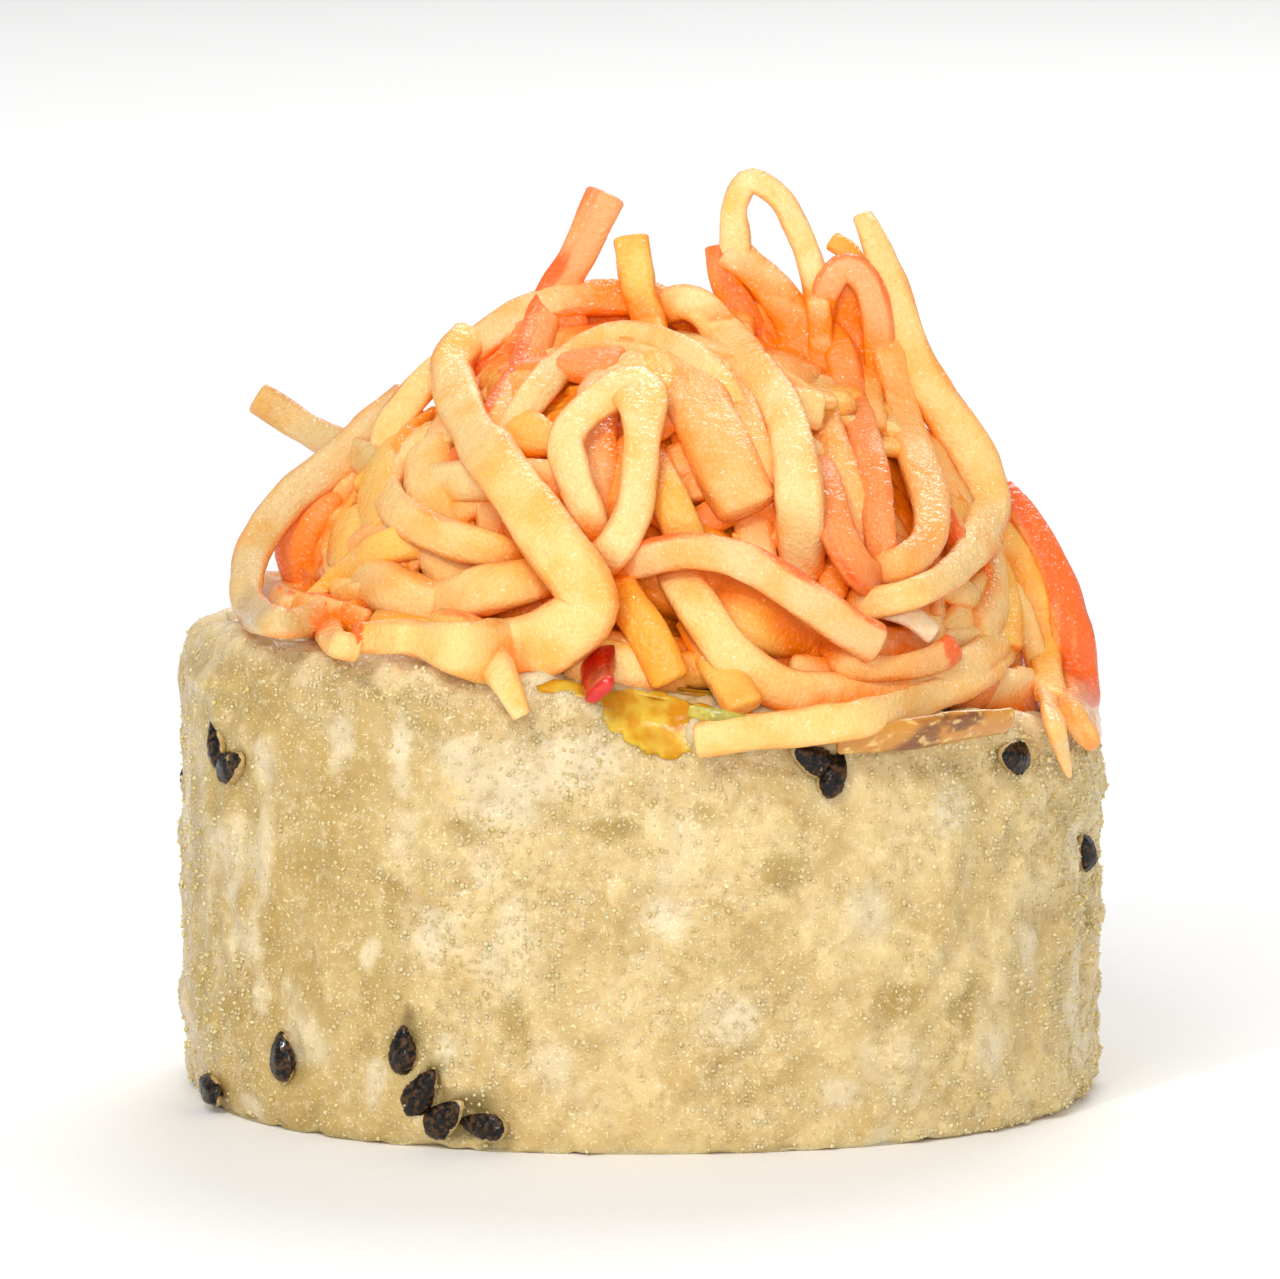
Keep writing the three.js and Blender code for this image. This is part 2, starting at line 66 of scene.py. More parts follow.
# Degrees round the roll, height, and degrees of tilt from upright.
SEEDS = [
    (207, 19.3, 15), (211, 18.3, -65), (221, 3.9, 5), (204, 1.2, 80), (240, 5, -5), (242.5, 2.9, -35),
    (246, 1.7, -50), (251.5, 1.4, 85), (299, 19.9, 60), (302, 19.1, -20), (330, 19.1, 75),
]
SCATTERED_SEEDS = dict(count=14, start=345, sweep=200, low=2.5, high=17)

CORE_CENTRE = np.array((1, 0, 22))
CORE_RADII = np.array((18.2, 14.6, 16.4))
REST = 1.1  # a strand's middle above the roll

EYE_PITCH, EYE_DISTANCE = math.radians(8), 500
EYE_U, EYE_V = 35.7, 25.8  # mm to the right of the roll's foot and up from it

# --- The heap's strands that the photograph shows --------------------------------------------------

# Each is its widths from start to end, a tint, and a route of (u, v, lift): mm to the right of the foot
# and up from it as the eye sees them, and mm in front of the core.
STRANDS = {
    "left_arch": ((1.7, 1.9, 1.9, 2, 2, 2.1, 2.2), "grey", (-15.6, 24.2, 2), (-17, 23.8, 5.5),
        (-18.6, 23.6, 7.5), (-19.9, 23.8, 8), (-20.6, 24.6, 6.6), (-20.8, 25.8, 4.4), (-20.5, 27.2, 2.6),
        (-19.9, 28.3, 1.6), (-19.2, 29.3, 1), (-18.2, 30.5, 0.6), (-16.9, 31.5, 0.4), (-15.5, 32.6, 0.2),
        (-14.1, 33.8, 0), (-12.4, 35.2, -0.6)),
    "left_stub": ((1.6, 1.9, 2), "grey", (-20.2, 35.3, -3), (-17.6, 33.7, -2.4), (-12.6, 31.2, -2)),
    "front_loop": ((1.9, 2.1, 2.4, 2.6, 2.7, 2.9, 3, 3.3, 3.1, 2, 1.5), "cream", (-9.2, 38.7, -0.2),
        (-10.2, 37, 2), (-9.4, 34.4, 3), (-7.8, 32, 3.8), (-6.2, 29.9, 4), (-4.6, 27.6, 4.1),
        (-3.2, 25.6, 4.2), (-3.1, 24.3, 4.2), (-4.7, 23, 4.2), (-7, 22.3, 4.2), (-9.7, 22.4, 4.2),
        (-12.4, 22.9, 4), (-15, 22.9, 3.6)),
    "end_curl": ((1.3, 1.5, 1.4), "cream", (-13.2, 25.4, 1), (-15.2, 25.1, 2), (-16.5, 24, 2.2),
        (-16.2, 22.7, 2.6), (-15, 22.3, 3)),
    "shoulder_outer": ((1.8, 2.1, 2, 1.7), "blush", (3.5, 38.6, -1), (1, 40.3, 0), (-1.2, 40.7, 0),
        (-5, 40.4, 0), (-8.3, 38.6, 0), (-10.7, 36.2, -0.4)),
    "shoulder_skin": ((2.4, 2.2), "peach", (-3.4, 39.3, 0.2), (-6.2, 38.6, 0.4), (-8.4, 36.6, 0.4),
        (-9.6, 34, 0)),
    "shoulder_fill": ((2.6, 3, 2.8), "peach", (-9, 34.6, -1), (-5.6, 37.6, -0.6), (-1.6, 38.9, -0.4),
        (2.4, 38.8, -0.6), (5.4, 37, -1)),
    "shoulder_orange": ((1.9, 2, 1.7), "peach", (0.4, 37.6, -1), (-4, 38.4, 1), (-6.1, 36.9, 1.4),
        (-7.9, 34.4, 1.4), (-9.9, 31.5, -0.6)),
    "shoulder_inner": ((2, 2, 1.9, 1.7, 1.6), "pale", (5.6, 31.8, -0.6), (3.9, 35.8, 1.6), (1.8, 37.7, 2.2),
        (-1.1, 38.5, 2.2), (-3.7, 37.7, 2.2), (-5.8, 35.7, 1.8), (-7.9, 32.4, -0.6)),
    "mid_loop": ((2, 2, 1.9, 1.9, 1.9), "cream", (-9.4, 37.8, -0.6), (-11.6, 36.1, 1.2), (-13.2, 34, 1.8),
        (-13.7, 32, 2.2), (-13.1, 29.7, 2.4), (-10.8, 28.3, 2.4), (-8, 27.5, 2), (-5, 26.4, -0.6)),
    "diamond": ((1.7, 1.8, 1.9, 2.1, 2.6, 1.9, 1.8, 2, 2.2), "pale", (-2.2, 27, -0.6), (-2.8, 29, 1.8),
        (-3.6, 31, 2.4), (-4.2, 33.1, 2.6), (-3.3, 34.6, 2.9), (-1.6, 35.8, 3), (-0.5, 36, 3),
        (-0.2, 34.4, 3), (-0.3, 32.2, 3), (-0.6, 29.6, 3), (-1.8, 27.5, 2.8), (-3.6, 26.2, -0.6)),
    "crown": ((2, 2.1, 2.1, 2.3, 2.5, 2.6, 2.4), "pale", (-0.4, 39.4, -1), (1.4, 40.4, 0.6),
        (2.6, 40.2, 1.2), (4, 38.8, 1.8), (5.6, 36.9, 2.4), (7, 34.7, 2.8), (7.7, 32.4, 3), (8, 30.2, 3),
        (8.1, 26.4, -0.4)),
    "orange_stub": ((2, 1.9, 1.8), "pink", (-2.3, 45.9, 0), (-3.7, 42.8, 0), (-5.2, 40.2, 0),
        (-6.9, 35, 0)),
    "yellow_stub": ((1.9, 1.9, 1.9, 2.2), "yellow", (-0.9, 43.7, 0.4), (-0.6, 41.6, 0.8), (0.1, 39.2, 1.4),
        (0.6, 36.4, 0.6), (0.8, 33.4, -0.6)),
    "top_loop": ((1.8, 1.9, 1.9, 1.5, 1.35, 1.35, 1.4, 1.5, 1.7, 1.9), "pale", (4.6, 37, -0.6),
        (4.6, 40.6, 0), (4.5, 43.7, 0), (4.45, 45.4, 0), (5.25, 46.8, 0), (6.75, 45.95, 0), (7.65, 44.5, 0),
        (8.2, 43.2, 0), (8.7, 41.4, 0.3), (9, 38.6, 1), (9, 36.6, 1.6), (8.9, 35.4, 1.9)),
    "loop_left": ((1.2, 1.8, 2, 2), "salmon", (3.5, 43.3, -0.2), (3.8, 41.8, 0), (4.9, 39.9, 0.6),
        (6.1, 37.7, 0.9), (7.2, 34.6, -0.4)),
    "loop_web": ((2, 2.2, 2.2), "blush", (4.3, 43.1, 0), (5.6, 42, 0), (6.7, 40.9, 0.2), (7.7, 39.4, 0.4),
        (8, 36.8, -0.6)),
    "loop_fill": ((2.6, 2.8), "yellow", (6, 40.2, 0), (6.8, 37.8, 0.6), (7.4, 34.4, -0.4)),
    "loop_step": ((2.1, 2.2), "cream", (5.6, 34.9, 0.4), (7, 35.2, 1.9), (8.9, 34.9, 2.3)),
    "right_tip": ((1.1, 1.9, 2.1, 2.3, 2.6, 2.8, 2.5, 1.9, 1.7, 1.7, 1.7), "cream", (11.1, 45, -0.4),
        (11.5, 44.2, 0), (12.3, 42.2, 0), (13.2, 39.4, 0.3), (14.2, 36.9, 0.7), (15.6, 34.7, 1.1),
        (17.1, 32.4, 1.5), (17.7, 30, 2), (17.1, 28, 3), (15.7, 26.4, 3.7), (13.9, 25.5, 3.8),
        (11.8, 25, 2), (10.2, 25, -0.6)),
    "right_inner": ((1.8, 2.1, 2.2, 2, 1.8, 1.8), "peach", (11.6, 40.6, -0.6), (12.5, 38, 0.8),
        (13.3, 35, 1.6), (14.1, 32.3, 2.3), (14.8, 30, 2.9), (14.6, 28.2, 3.1), (13.3, 27, 3.1),
        (11.4, 26.8, 0.6)),
    "tip_arch": ((1.6, 1.7, 1.6), "pink", (8.8, 38.6, -0.4), (9.2, 41, 0.5), (10.2, 42.3, 0.6),
        (11.3, 41.6, 0.7), (11.9, 39.8, 0.9), (12.1, 36.4, 0.8)),
    "tip_nub": ((1.2, 1.5), "amber", (9.6, 43.7, -0.8), (10.5, 43, -0.6), (11.4, 40.8, -0.4)),
    "tip_fill": ((2.2, 2.4), "peach", (10.4, 41.4, -0.2), (10.8, 38, -0.2), (11.4, 34, -0.4)),
    "pink_strand": ((1.5, 1.8, 1.8, 1.7), "salmon", (8.8, 39.4, -0.6), (9.9, 38.2, 1), (10.6, 35.6, 1.7),
        (11.4, 33, 2.2), (11.9, 30.6, 2.5), (12.2, 28, 2.4), (12.3, 25.2, -0.6)),
    "pink_left": ((1.9, 2.2, 2), "peach", (8.8, 35.4, -0.4), (9.6, 32.8, 0.9), (10.5, 30.2, 1.3),
        (11.4, 27, 0.8)),
    "pink_short": ((1.6, 1.9, 2), "salmon", (8.4, 33, -0.4), (9.2, 31.2, 1.8), (9.9, 28.8, 2.5),
        (11.2, 26.6, 2.6), (12.9, 25.9, 0)),
    "diagonal": ((1.9, 1.9, 1.9, 2, 2), "blush", (-3.4, 26.2, -0.6), (-0.6, 27, 1.8), (2.1, 27.6, 3),
        (4.7, 27.2, 3.8), (7, 26.1, 4.2), (9.1, 24.7, 4.4), (10.7, 23.6, 4.5), (12, 22.9, 4.5)),
    "hook": ((1.4, 1.35, 1.5), "peach", (9.4, 23.6, -0.6), (10.2, 22, 3), (11.6, 21.6, 3.8),
        (13.6, 21.7, 4), (15.3, 22.2, 3.8), (16, 22.7, 3.6)),
    "white_bit": ((1.1, 1.3), "white", (12.2, 24.7, 1.6), (13.8, 24.3, 2.6), (14.9, 23.4, 2.8)),
    "base_front": ((2, 2, 1.9, 1.8, 1.7, 1.7), "cream", (2.9, 17.8, 4), (5, 18.1, 4), (8.2, 18.5, 4),
        (11.8, 19.1, 4), (15.2, 20.3, 3.8), (17.8, 21.7, 3), (19, 23.8, 0)),
    "base_back": ((2.1, 2.2, 2.3, 2.2, 2.1, 2), "cream", (1, 27.6, -0.6), (2.3, 25.4, 2), (3.5, 23.5, 2.8),
        (5.2, 21.6, 3.2), (7.6, 20.4, 3.4), (10.9, 20.1, 3.4), (14.3, 20.8, 3.2), (17.4, 22.2, 2.6),
        (19, 24.6, -0.2)),
    "base_drop": ((2, 2.1), "yellow", (2.6, 24, 1), (3.9, 21.6, 2.6), (5.2, 19.6, 3.2)),
    "hang_orange": ((1.5, 1.6, 1.9, 2.3, 2.7, 2.9), "peach", (16.5, 32.2, -3), (19, 30.3, -1.4),
        (20.4, 28.3, -0.4), (21.5, 26, 0.4), (22.2, 23.4, 1), (22.55, 20.9, 1), (22.6, 18.8, 1)),
    "hang_cream": ((1.8, 1.8, 1.8, 1.7), "yellow", (16.4, 30, -2), (18.8, 27.9, 0), (20, 25.4, 1),
        (20.7, 22.6, 1.6), (21.1, 20.2, 1.8)),
    "hang_thin": ((1.5, 1.4, 1.4), "cream", (16.6, 28.4, -1), (19.4, 24.6, 2), (20.6, 21.4, 3),
        (21.3, 19, 4), (21.8, 17.2, 4.2), (22.1, 16.2, 4.2)),
    "rim_tab": ((1.6, 1.8, 0.9), "pale", (-8.4, 22.7, 4.4), (-7.2, 20.6, 4.4), (-6.4, 19, 4.4)),
    "left_taper": ((2, 1.8, 1.5), "yellow", (-9, 28.3, -0.6), (-13.3, 27.7, 2), (-16, 26.1, 2.2),
        (-18.4, 24.2, 1.6)),
    "left_inner": ((1.7, 1.8, 1.9), "cream", (-14.2, 33.4, -0.8), (-15.7, 31, 0.4), (-16, 28.6, 0.8),
        (-15.8, 26, 1.4), (-14, 23.6, -0.4)),
    "left_flat": ((2.6, 2.8, 2.6), "cream", (-16.2, 26.6, -0.6), (-13.4, 25.4, 2), (-11, 24.4, 1.4)),
    "mid_cream": ((2.3, 2.5, 2.3), "cream", (-12.2, 23.9, -0.4), (-9.2, 25.2, 2.4), (-6, 26, 2),
        (-3.6, 26.8, -0.6)),
    "centre_low": ((1.9, 2.2, 2.2), "amber", (-2.4, 27.2, -0.6), (-1, 25, 2), (0.2, 23.2, 2.9),
        (1.3, 21, 3.2)),
    "centre_broad": ((2.8, 3.2, 3.4, 3.4), "peach", (1.4, 37.4, 0.6), (2.7, 35, 1.3), (3.9, 32.6, 1.6),
        (5.2, 30, 1.5)),
    "centre_edge": ((1.7, 1.8, 1.6), "peach", (3.6, 37.6, 0), (5, 34.8, 1.7), (6, 31.8, 1.9),
        (6.6, 28.4, 0)),
    "behind_loop": ((2.3, 2.4), "pale", (-13.6, 30.6, -1), (-9, 31.1, 1.4), (-5.1, 31.1, 1.4),
        (-0.6, 30.4, -1)),
    "centre_thin": ((2, 2.1), "yellow", (0, 33, -0.8), (1.3, 30, 1.7), (3, 26.4, -0.4)),
    "centre_mass": ((3, 3.6, 3), "yellow", (2.8, 26.6, -1), (5.6, 24.4, 1.4), (9.2, 23, -0.6)),
    "left_orange": ((2, 2.6, 2.5, 1.4), "salmon", (-15.2, 31.8, -0.8), (-17.2, 29.7, 0.2),
        (-18.1, 27.9, 0.4), (-18, 26.2, 0.4), (-17.5, 24.6, 0)),
    "left_back": ((2.2, 2.4), "yellow", (-12.8, 33.6, -1), (-15.6, 31.4, -0.8), (-17, 28.6, -0.8),
        (-16.9, 25.4, -0.8)),
    "right_fill": ((2, 2.1), "yellow", (16, 29.4, -0.8), (18.3, 26.4, 1.2), (18.7, 23, 1.8)),
}
# Where the crab stick's red skin shows: the strand's side (1 for the left of one that runs down), how far
# round it the red comes, and how strong it is.
RED_SIDES = {
    "shoulder_outer": (-1, 0.5, 0.6), "shoulder_skin": (-1, 4, 1), "shoulder_fill": (-1, 4, 0.7),
    "shoulder_orange": (1, 1.4, 1), "shoulder_inner": (-1, 0.3, 0.5), "mid_loop": (1, 0.35, 0.6),
    "front_loop": (1, 0.2, 0.4), "pink_strand": (-1, 0.6, 0.75), "pink_left": (1, 1.6, 0.6),
    "pink_short": (1, 1, 0.7), "diagonal": (-1, 0.8, 1), "hang_orange": (-1, 3.4, 1),
    "loop_left": (-1, 3, 0.8), "orange_stub": (1, 1.5, 0.8), "top_loop": (-1, 0.25, 0.5),
    "loop_web": (1, 0.4, 0.5), "left_orange": (1, 1.4, 0.7), "centre_edge": (1, 0.8, 0.6),
    "base_front": (1, 0.1, 0.4), "right_tip": (1, 0.15, 0.4), "tip_arch": (-1, 0.8, 0.7),
    "right_inner": (-1, 0.2, 0.5), "centre_broad": (1, 0.15, 0.4),
}
RED_ENDS = {"front_loop": 0.4, "hook": 1.6}  # mm of red at the strand's end
PALE_ENDS = {"hang_orange": 3.4}  # mm at the strand's end that the skin has left
TAPERED = {"left_taper": 6, "hang_thin": 5}  # mm of taper at the end

# sRGB colours of the strands' flesh.
TINTS = {
    "cream": (250, 203, 124), "pale": (251, 214, 142), "yellow": (249, 192, 88), "grey": (220, 186, 124),
    "peach": (251, 182, 102), "pink": (251, 168, 104), "blush": (251, 196, 130), "amber": (246, 168, 50),
    "salmon": (250, 146, 72), "white": (253, 226, 184),
}


# --- Helpers: numbers ------------------------------------------------------------------------------


def unit(vectors):
    """Vectors at length 1."""
    return vectors / np.maximum(np.linalg.norm(vectors, axis=-1, keepdims=True), 1e-9)


def points_of(*parts):
    """Points from their coordinates, each of which is spread to the others' shape."""
    return np.stack(np.broadcast_arrays(*parts), -1)


def smooth_step(values, low, high):
    t = np.clip((values - low) / (high - low), 0, 1)
    return t * t * (3 - 2 * t)


def random_from(seed):
    """The CAD part's own repeatable numbers from 0 to 1, which put the scattered seeds in the same places."""
    state = seed
    while True:
        state = (state * 1664525 + 1013904223) % 2**32
        yield state / 2**32


def lattice(i, j, k, seed):
    """A repeatable random number from 0 to 1 for each point of a whole-number grid."""
    h = (i * 374761393 + j * 668265263 + k * 1440662683 + seed * 974634777) & 0xFFFFFFFF
    h = ((h ^ (h >> 13)) * 1274126177) & 0xFFFFFFFF
    return ((h ^ (h >> 16)) & 0xFFFF) / 65535


def noise(points, size, seed=0):
    """Smooth noise from -1 to 1, whose lumps are about size across."""
    q = np.asarray(points) / size
    base = np.floor(q).astype(np.int64)
    f = q - base
    f = f * f * (3 - 2 * f)
    total = 0
    for corner in range(8):
        step = (corner & 1, corner >> 1 & 1, corner >> 2)
        weight = np.prod([f[..., n] if step[n] else 1 - f[..., n] for n in range(3)], axis=0)
        total = total + weight * lattice(*(base[..., n] + step[n] for n in range(3)), seed)
    return 2 * total - 1


def layered_noise(points, size, layers, seed=0):
    return sum(noise(points, size / 2**n, seed + n) / 2**n for n in range(layers))


def cells(points, size, seed=0):
    """Distance to the nearest of scattered points, in units of size, and that point's own random number."""
    q = np.asarray(points) / size
    base = np.floor(q).astype(np.int64)
    nearest = np.full(q.shape[:-1], 9.0)
    number = np.zeros(q.shape[:-1])
    for n in range(27):
        cell = [base[..., 0] + n % 3 - 1, base[..., 1] + n // 3 % 3 - 1, base[..., 2] + n // 9 - 1]
        spot = points_of(*(cell[axis] + lattice(*cell, seed + 7 * axis) for axis in range(3)))
        distance = np.linalg.norm(q - spot, axis=-1)
        closer = distance < nearest
        nearest = np.where(closer, distance, nearest)
        number = np.where(closer, lattice(*cell, seed + 31), number)
    return nearest, number


def spline(points, spacing):
    """Points evenly spaced along a smooth curve through the given ones."""
    p = np.asarray(points, float)
    p = np.vstack([2 * p[0] - p[1], p, 2 * p[-1] - p[-2]])
    t = np.linspace(0, 1, 25)[:, None]
    fine = []
    for a, b, c, d in zip(p, p[1:], p[2:], p[3:]):
        into, out = (c - a) / 2, (d - b) / 2
        fine.append(b + t * (into + t * (3 * (c - b) - 2 * into - out + t * (2 * (b - c) + into + out))))
    fine = np.vstack([fine[0], *(part[1:] for part in fine[1:])])
    along = np.concatenate([[0], np.cumsum(np.linalg.norm(np.diff(fine, axis=0), axis=1))])
    count = max(4, round(along[-1] / spacing) + 1)
    even = np.linspace(0, along[-1], count)
    return np.stack([np.interp(even, along, fine[:, n]) for n in range(p.shape[1])], 1)


def turned_by(angle, a, b):
    """Two coordinates, turned."""
    cos, sin = math.cos(angle), math.sin(angle)
    return a * cos - b * sin, a * sin + b * cos


def rgb(*channels):
    """A linear colour from three sRGB numbers out of 255."""
    shares = [channel / 255 for channel in channels]
    return (*(c / 12.92 if c < 0.0404 else ((c + 0.055) / 1.055) ** 2.4 for c in shares), 1.0)


# --- Helpers: the roll -----------------------------------------------------------------------------


def plan_radius(angle, inset=0.0):
    """How far from the axis the roll's outside lies, or a line that is inset from it."""
    x = np.abs(np.cos(angle - TURN)) / (HALF_LENGTH - inset)
    y = np.abs(np.sin(angle - TURN)) / (HALF_WIDTH - inset)
    return (x**POWER + y**POWER) ** (-1 / POWER)


def plan_point(angle, inset=0.0, outwards=0.0):
    radius = plan_radius(angle, inset) + outwards
    drift = np.clip(inset / WALL, 0, 1)
    return points_of(radius * np.cos(angle) + drift * INSIDE_X, radius * np.sin(angle) + drift * INSIDE_Y)


def across_from(angle, degrees):
    """Mm round the roll from a place that is given in degrees."""
    return ((angle - math.radians(degrees) + math.pi) % (2 * math.pi) - math.pi) * MEAN_RADIUS


def cut_height(x, y):
    return CUT_HEIGHT - FALL_RIGHT * x - FALL_BACK * y


def worn_by(x, y):
    return np.where(y < 0, WORN_DROP * np.exp(-(((x - WORN_X) / WORN_WIDTH) ** 2)), 0)


def lumps(p):
    """The lumps of the ring's outside, by the CAD part's own rule."""
    x, y, z = p[..., 0], p[..., 1], p[..., 2]
    slow = np.sin(0.9 * x + 1.7 * np.sin(0.31 * z)) * np.sin(0.8 * y + 0.9)
    quick = np.sin(1.9 * x + 0.4) * np.sin(1.7 * y + 0.8 * z) * np.sin(1.6 * z + 1.1)
    return 0.45 * slow + 0.55 * quick


def ring_grid(angles, profile):
    """Points in rows round the roll. A row of the profile is (inset, share of the cut's height, mm above)."""
    inset, share, above = (profile[:, n][:, None] for n in range(3))
    around = angles[None, :] + 0 * inset
    flat = plan_point(around, inset)
    rough = points_of(flat[..., 0], flat[..., 1], share * CUT_HEIGHT + above)
    is_outer = (inset < WALL / 2) & (share > 0)
    flat = plan_point(around, inset, np.where(is_outer, RELIEF * (lumps(rough) - 0.4), 0))
    x, y = flat[..., 0], flat[..., 1]
    rim_share = np.clip((share - 0.51) / 0.17, 0, 1) * (1 - np.clip(inset / WALL, 0, 1))
    return points_of(x, y, share * cut_height(x, y) + above - rim_share * worn_by(x, y))


def axis_place():
    """Where the roll's axis stands in the frame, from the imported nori's box."""
    outline = plan_point(np.linspace(0, 2 * math.pi, 60, endpoint=False), WALL + GAP)
    low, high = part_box("nori_sheet")
    middle = (np.array(low) + np.array(high))[:2] / 2 / MM
    return np.array([*(middle - (outline.min(0) + outline.max(0)) / 2), 0])


AXIS = axis_place()

# --- Helpers: meshes -------------------------------------------------------------------------------


def grid_faces(rows, columns, wrap_rows=False, wrap_columns=True):
    """Faces of a grid of points that are numbered row by row."""
    r = np.arange(rows if wrap_rows else rows - 1)[:, None]
    c = np.arange(columns if wrap_columns else columns - 1)[None, :]
    below, above = r * columns, (r + 1) % rows * columns
    left, right = c + 0 * r, (c + 1) % columns + 0 * r
    quads = np.stack([below + left, below + right, above + right, above + left], -1)
    return quads.reshape(-1, 4).tolist()


def flattened(grid):
    """The grid's points at height 0."""
    return grid * (1, 1, 0)


def grid_normals(grid):
    """Normals of a grid whose rows and columns run round, to the outside where the rows go up."""
    along_columns = np.roll(grid, -1, 1) - np.roll(grid, 1, 1)
    return unit(np.cross(along_columns, np.roll(grid, -1, 0) - np.roll(grid, 1, 0)))


class Shape:
    """Points and faces that are gathered from several parts into one mesh, with numbers at each point."""

    def __init__(self):
        self.points, self.faces, self.values, self.count = [], [], {}, 0

    def add(self, points, faces, **values):
        points = points.reshape(-1, 3)
        self.points.append(points)
        self.faces += [[index + self.count for index in face] for face in faces]
        for key, value in values.items():
            self.values.setdefault(key, []).append(value)
        self.count += len(points)

    def add_tube(self, rings, **values):
        """A tube of rings of points, closed at both ends."""
        rows, columns = rings.shape[:2]
        caps = [list(range(columns))[::-1], [(rows - 1) * columns + n for n in range(columns)]]
        self.add(rings, grid_faces(rows, columns) + caps, **values)

    def make(self, name, finish, slot):
        mesh = bpy.data.meshes.new(name)
        points = (np.vstack(self.points) + AXIS) * MM
        mesh.from_pydata(points.tolist(), [], self.faces)
        mesh.validate()
        mesh.shade_smooth()
        for key, parts in self.values.items():
            value = np.concatenate(parts)
            kind = "FLOAT" if value.ndim == 1 else {3: "FLOAT_VECTOR", 4: "FLOAT_COLOR"}[value.shape[1]]
            field = {"FLOAT": "value", "FLOAT_VECTOR": "vector", "FLOAT_COLOR": "color"}[kind]
            mesh.attributes.new(key, kind, "POINT").data.foreach_set(field, value.astype(np.float32).ravel())
        piece = bpy.data.objects.new(name, mesh)
        bpy.context.scene.collection.objects.link(piece)
        mesh.materials.append(finish)
        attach(piece, "root")
        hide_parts(slot)


# --- Helpers: finishes -----------------------------------------------------------------------------


class Finish:
    """A procedural material, with constants for its shader. Patterns lie in the piece's own space, in mm."""

    def __init__(self, name, **sockets):
        self.material = bpy.data.materials.new(name)
        self.material.use_nodes = True
        self.tree = self.material.node_tree
        self.shader = next(node for node in self.tree.nodes if node.type == "BSDF_PRINCIPLED")
        for socket, value in sockets.items():
            self.shader.inputs[socket.replace("_", " ").title().replace("Ior", "IOR")].default_value = value
        place = self.node("ShaderNodeTexCoord").outputs["Object"]
        self.place = self.scaled(place, (1 / MM,) * 3)

    def node(self, kind, inputs=(), **settings):
        node = self.tree.nodes.new(kind)
        for key, value in settings.items():
            setattr(node, key, value)
        for key, value in dict(inputs).items():
            if isinstance(value, bpy.types.NodeSocket):
                self.tree.links.new(value, node.inputs[key])
            else:
                node.inputs[key].default_value = value
        return node

    def scaled(self, vector, factors):
        return self.node("ShaderNodeVectorMath", {0: vector, 1: factors}, operation="MULTIPLY").outputs[0]

    def attribute(self, name, output="Fac"):
        return self.node("ShaderNodeAttribute", attribute_name=name).outputs[output]

    def noise(self, size, detail=2.0, place=None, roughness=0.5, distortion=0.0):
        values = {"Vector": place or self.place, "Scale": 1 / size, "Detail": detail,
                  "Roughness": roughness, "Distortion": distortion}
        return self.node("ShaderNodeTexNoise", values).outputs["Fac"]

    def step(self, value, low, high, start=0.0, end=1.0):
        """start below low, end above high, and a smooth step between them."""
        values = {"Value": value, "From Min": low, "From Max": high, "To Min": start, "To Max": end}
        return self.node("ShaderNodeMapRange", values, interpolation_type="SMOOTHSTEP").outputs[0]

    def math(self, operation, a, b):
        return self.node("ShaderNodeMath", {0: a, 1: b}, operation=operation).outputs[0]

    def roughened(self, value, noise, amount):
        """The value with the noise, less its mean, added by an amount."""
        return self.math("ADD", value, self.math("MULTIPLY", self.math("SUBTRACT", noise, 0.5), amount))

    def mix(self, share, a, b, blend="MIX"):
        node = self.node("ShaderNodeMix", data_type="RGBA", blend_type=blend)
        for socket, value in (("Factor_Float", share), ("A_Color", a), ("B_Color", b)):
            target = next(entry for entry in node.inputs if entry.identifier == socket)
            if isinstance(value, bpy.types.NodeSocket):
                self.tree.links.new(value, target)
            else:
                target.default_value = value
        return next(entry for entry in node.outputs if entry.identifier == "Result_Color")

    def bump(self, height, depth, before=None):
        values = {"Height": height, "Distance": depth * MM, "Strength": 1}
        if before:
            values["Normal"] = before
        return self.node("ShaderNodeBump", values).outputs[0]

    def finish(self, colour=None, roughness=None, normal=None, coat_normal=None):
        for socket, value in (("Base Color", colour), ("Roughness", roughness), ("Normal", normal),
                              ("Coat Normal", coat_normal)):
            if value is not None:
                self.tree.links.new(value, self.shader.inputs[socket])
        return self.material


def subsurface(weight, *radius):
    """Sockets for light that spreads under the surface, as far as a radius in mm for each colour."""
    return dict(subsurface_weight=weight, subsurface_radius=[r * MM for r in radius], subsurface_scale=1)


def batter_finish():
    """Pale gold batter, clear enough in places to show the grains of rice, full of fine glints, which are
    bumps and gloss and also painted highlights: bright specks in its colour.
    """
    f = Finish("fried_batter", coat_weight=0.4, coat_roughness=0.12, **subsurface(0.5, 1.8, 1.3, 0.6))
    cut = f.attribute("cut")
    colour = f.mix(f.step(f.noise(4, 3), 0.36, 0.64), rgb(204, 174, 110), rgb(224, 197, 138))
    colour = f.mix(f.attribute("gold"), colour, rgb(168, 136, 54))
    colour = f.mix(f.attribute("pale"), colour, rgb(230, 214, 180))
    rice = f.mix(f.attribute("grain"), rgb(206, 178, 124), rgb(236, 214, 170))
    colour = f.mix(cut, colour, rice)
    cloudy = f.noise(0.7, 3, roughness=0.65)
    colour = f.mix(f.step(cloudy, 0.5, 0.72, 0, 0.4), colour, rgb(240, 220, 172))
    colour = f.mix(f.step(cloudy, 0.48, 0.3, 0, 0.35), colour, rgb(176, 142, 70))
    glints = f.noise(0.16, 1, roughness=0.6)
    # Painted highlight: bright cream specks put into the colour where the glint noise peaks.
    colour = f.mix(f.step(glints, 0.6, 0.7, 0, 0.6), colour, rgb(254, 240, 196))
    colour = f.mix(f.attribute("scorch"), colour, rgb(126, 104, 44))
    normal = f.bump(glints, 0.05, f.bump(cloudy, 0.1))
    return f.finish(colour, f.step(glints, 0.45, 0.65, 0.5, 0.15), normal, f.bump(glints, 0.09, normal))


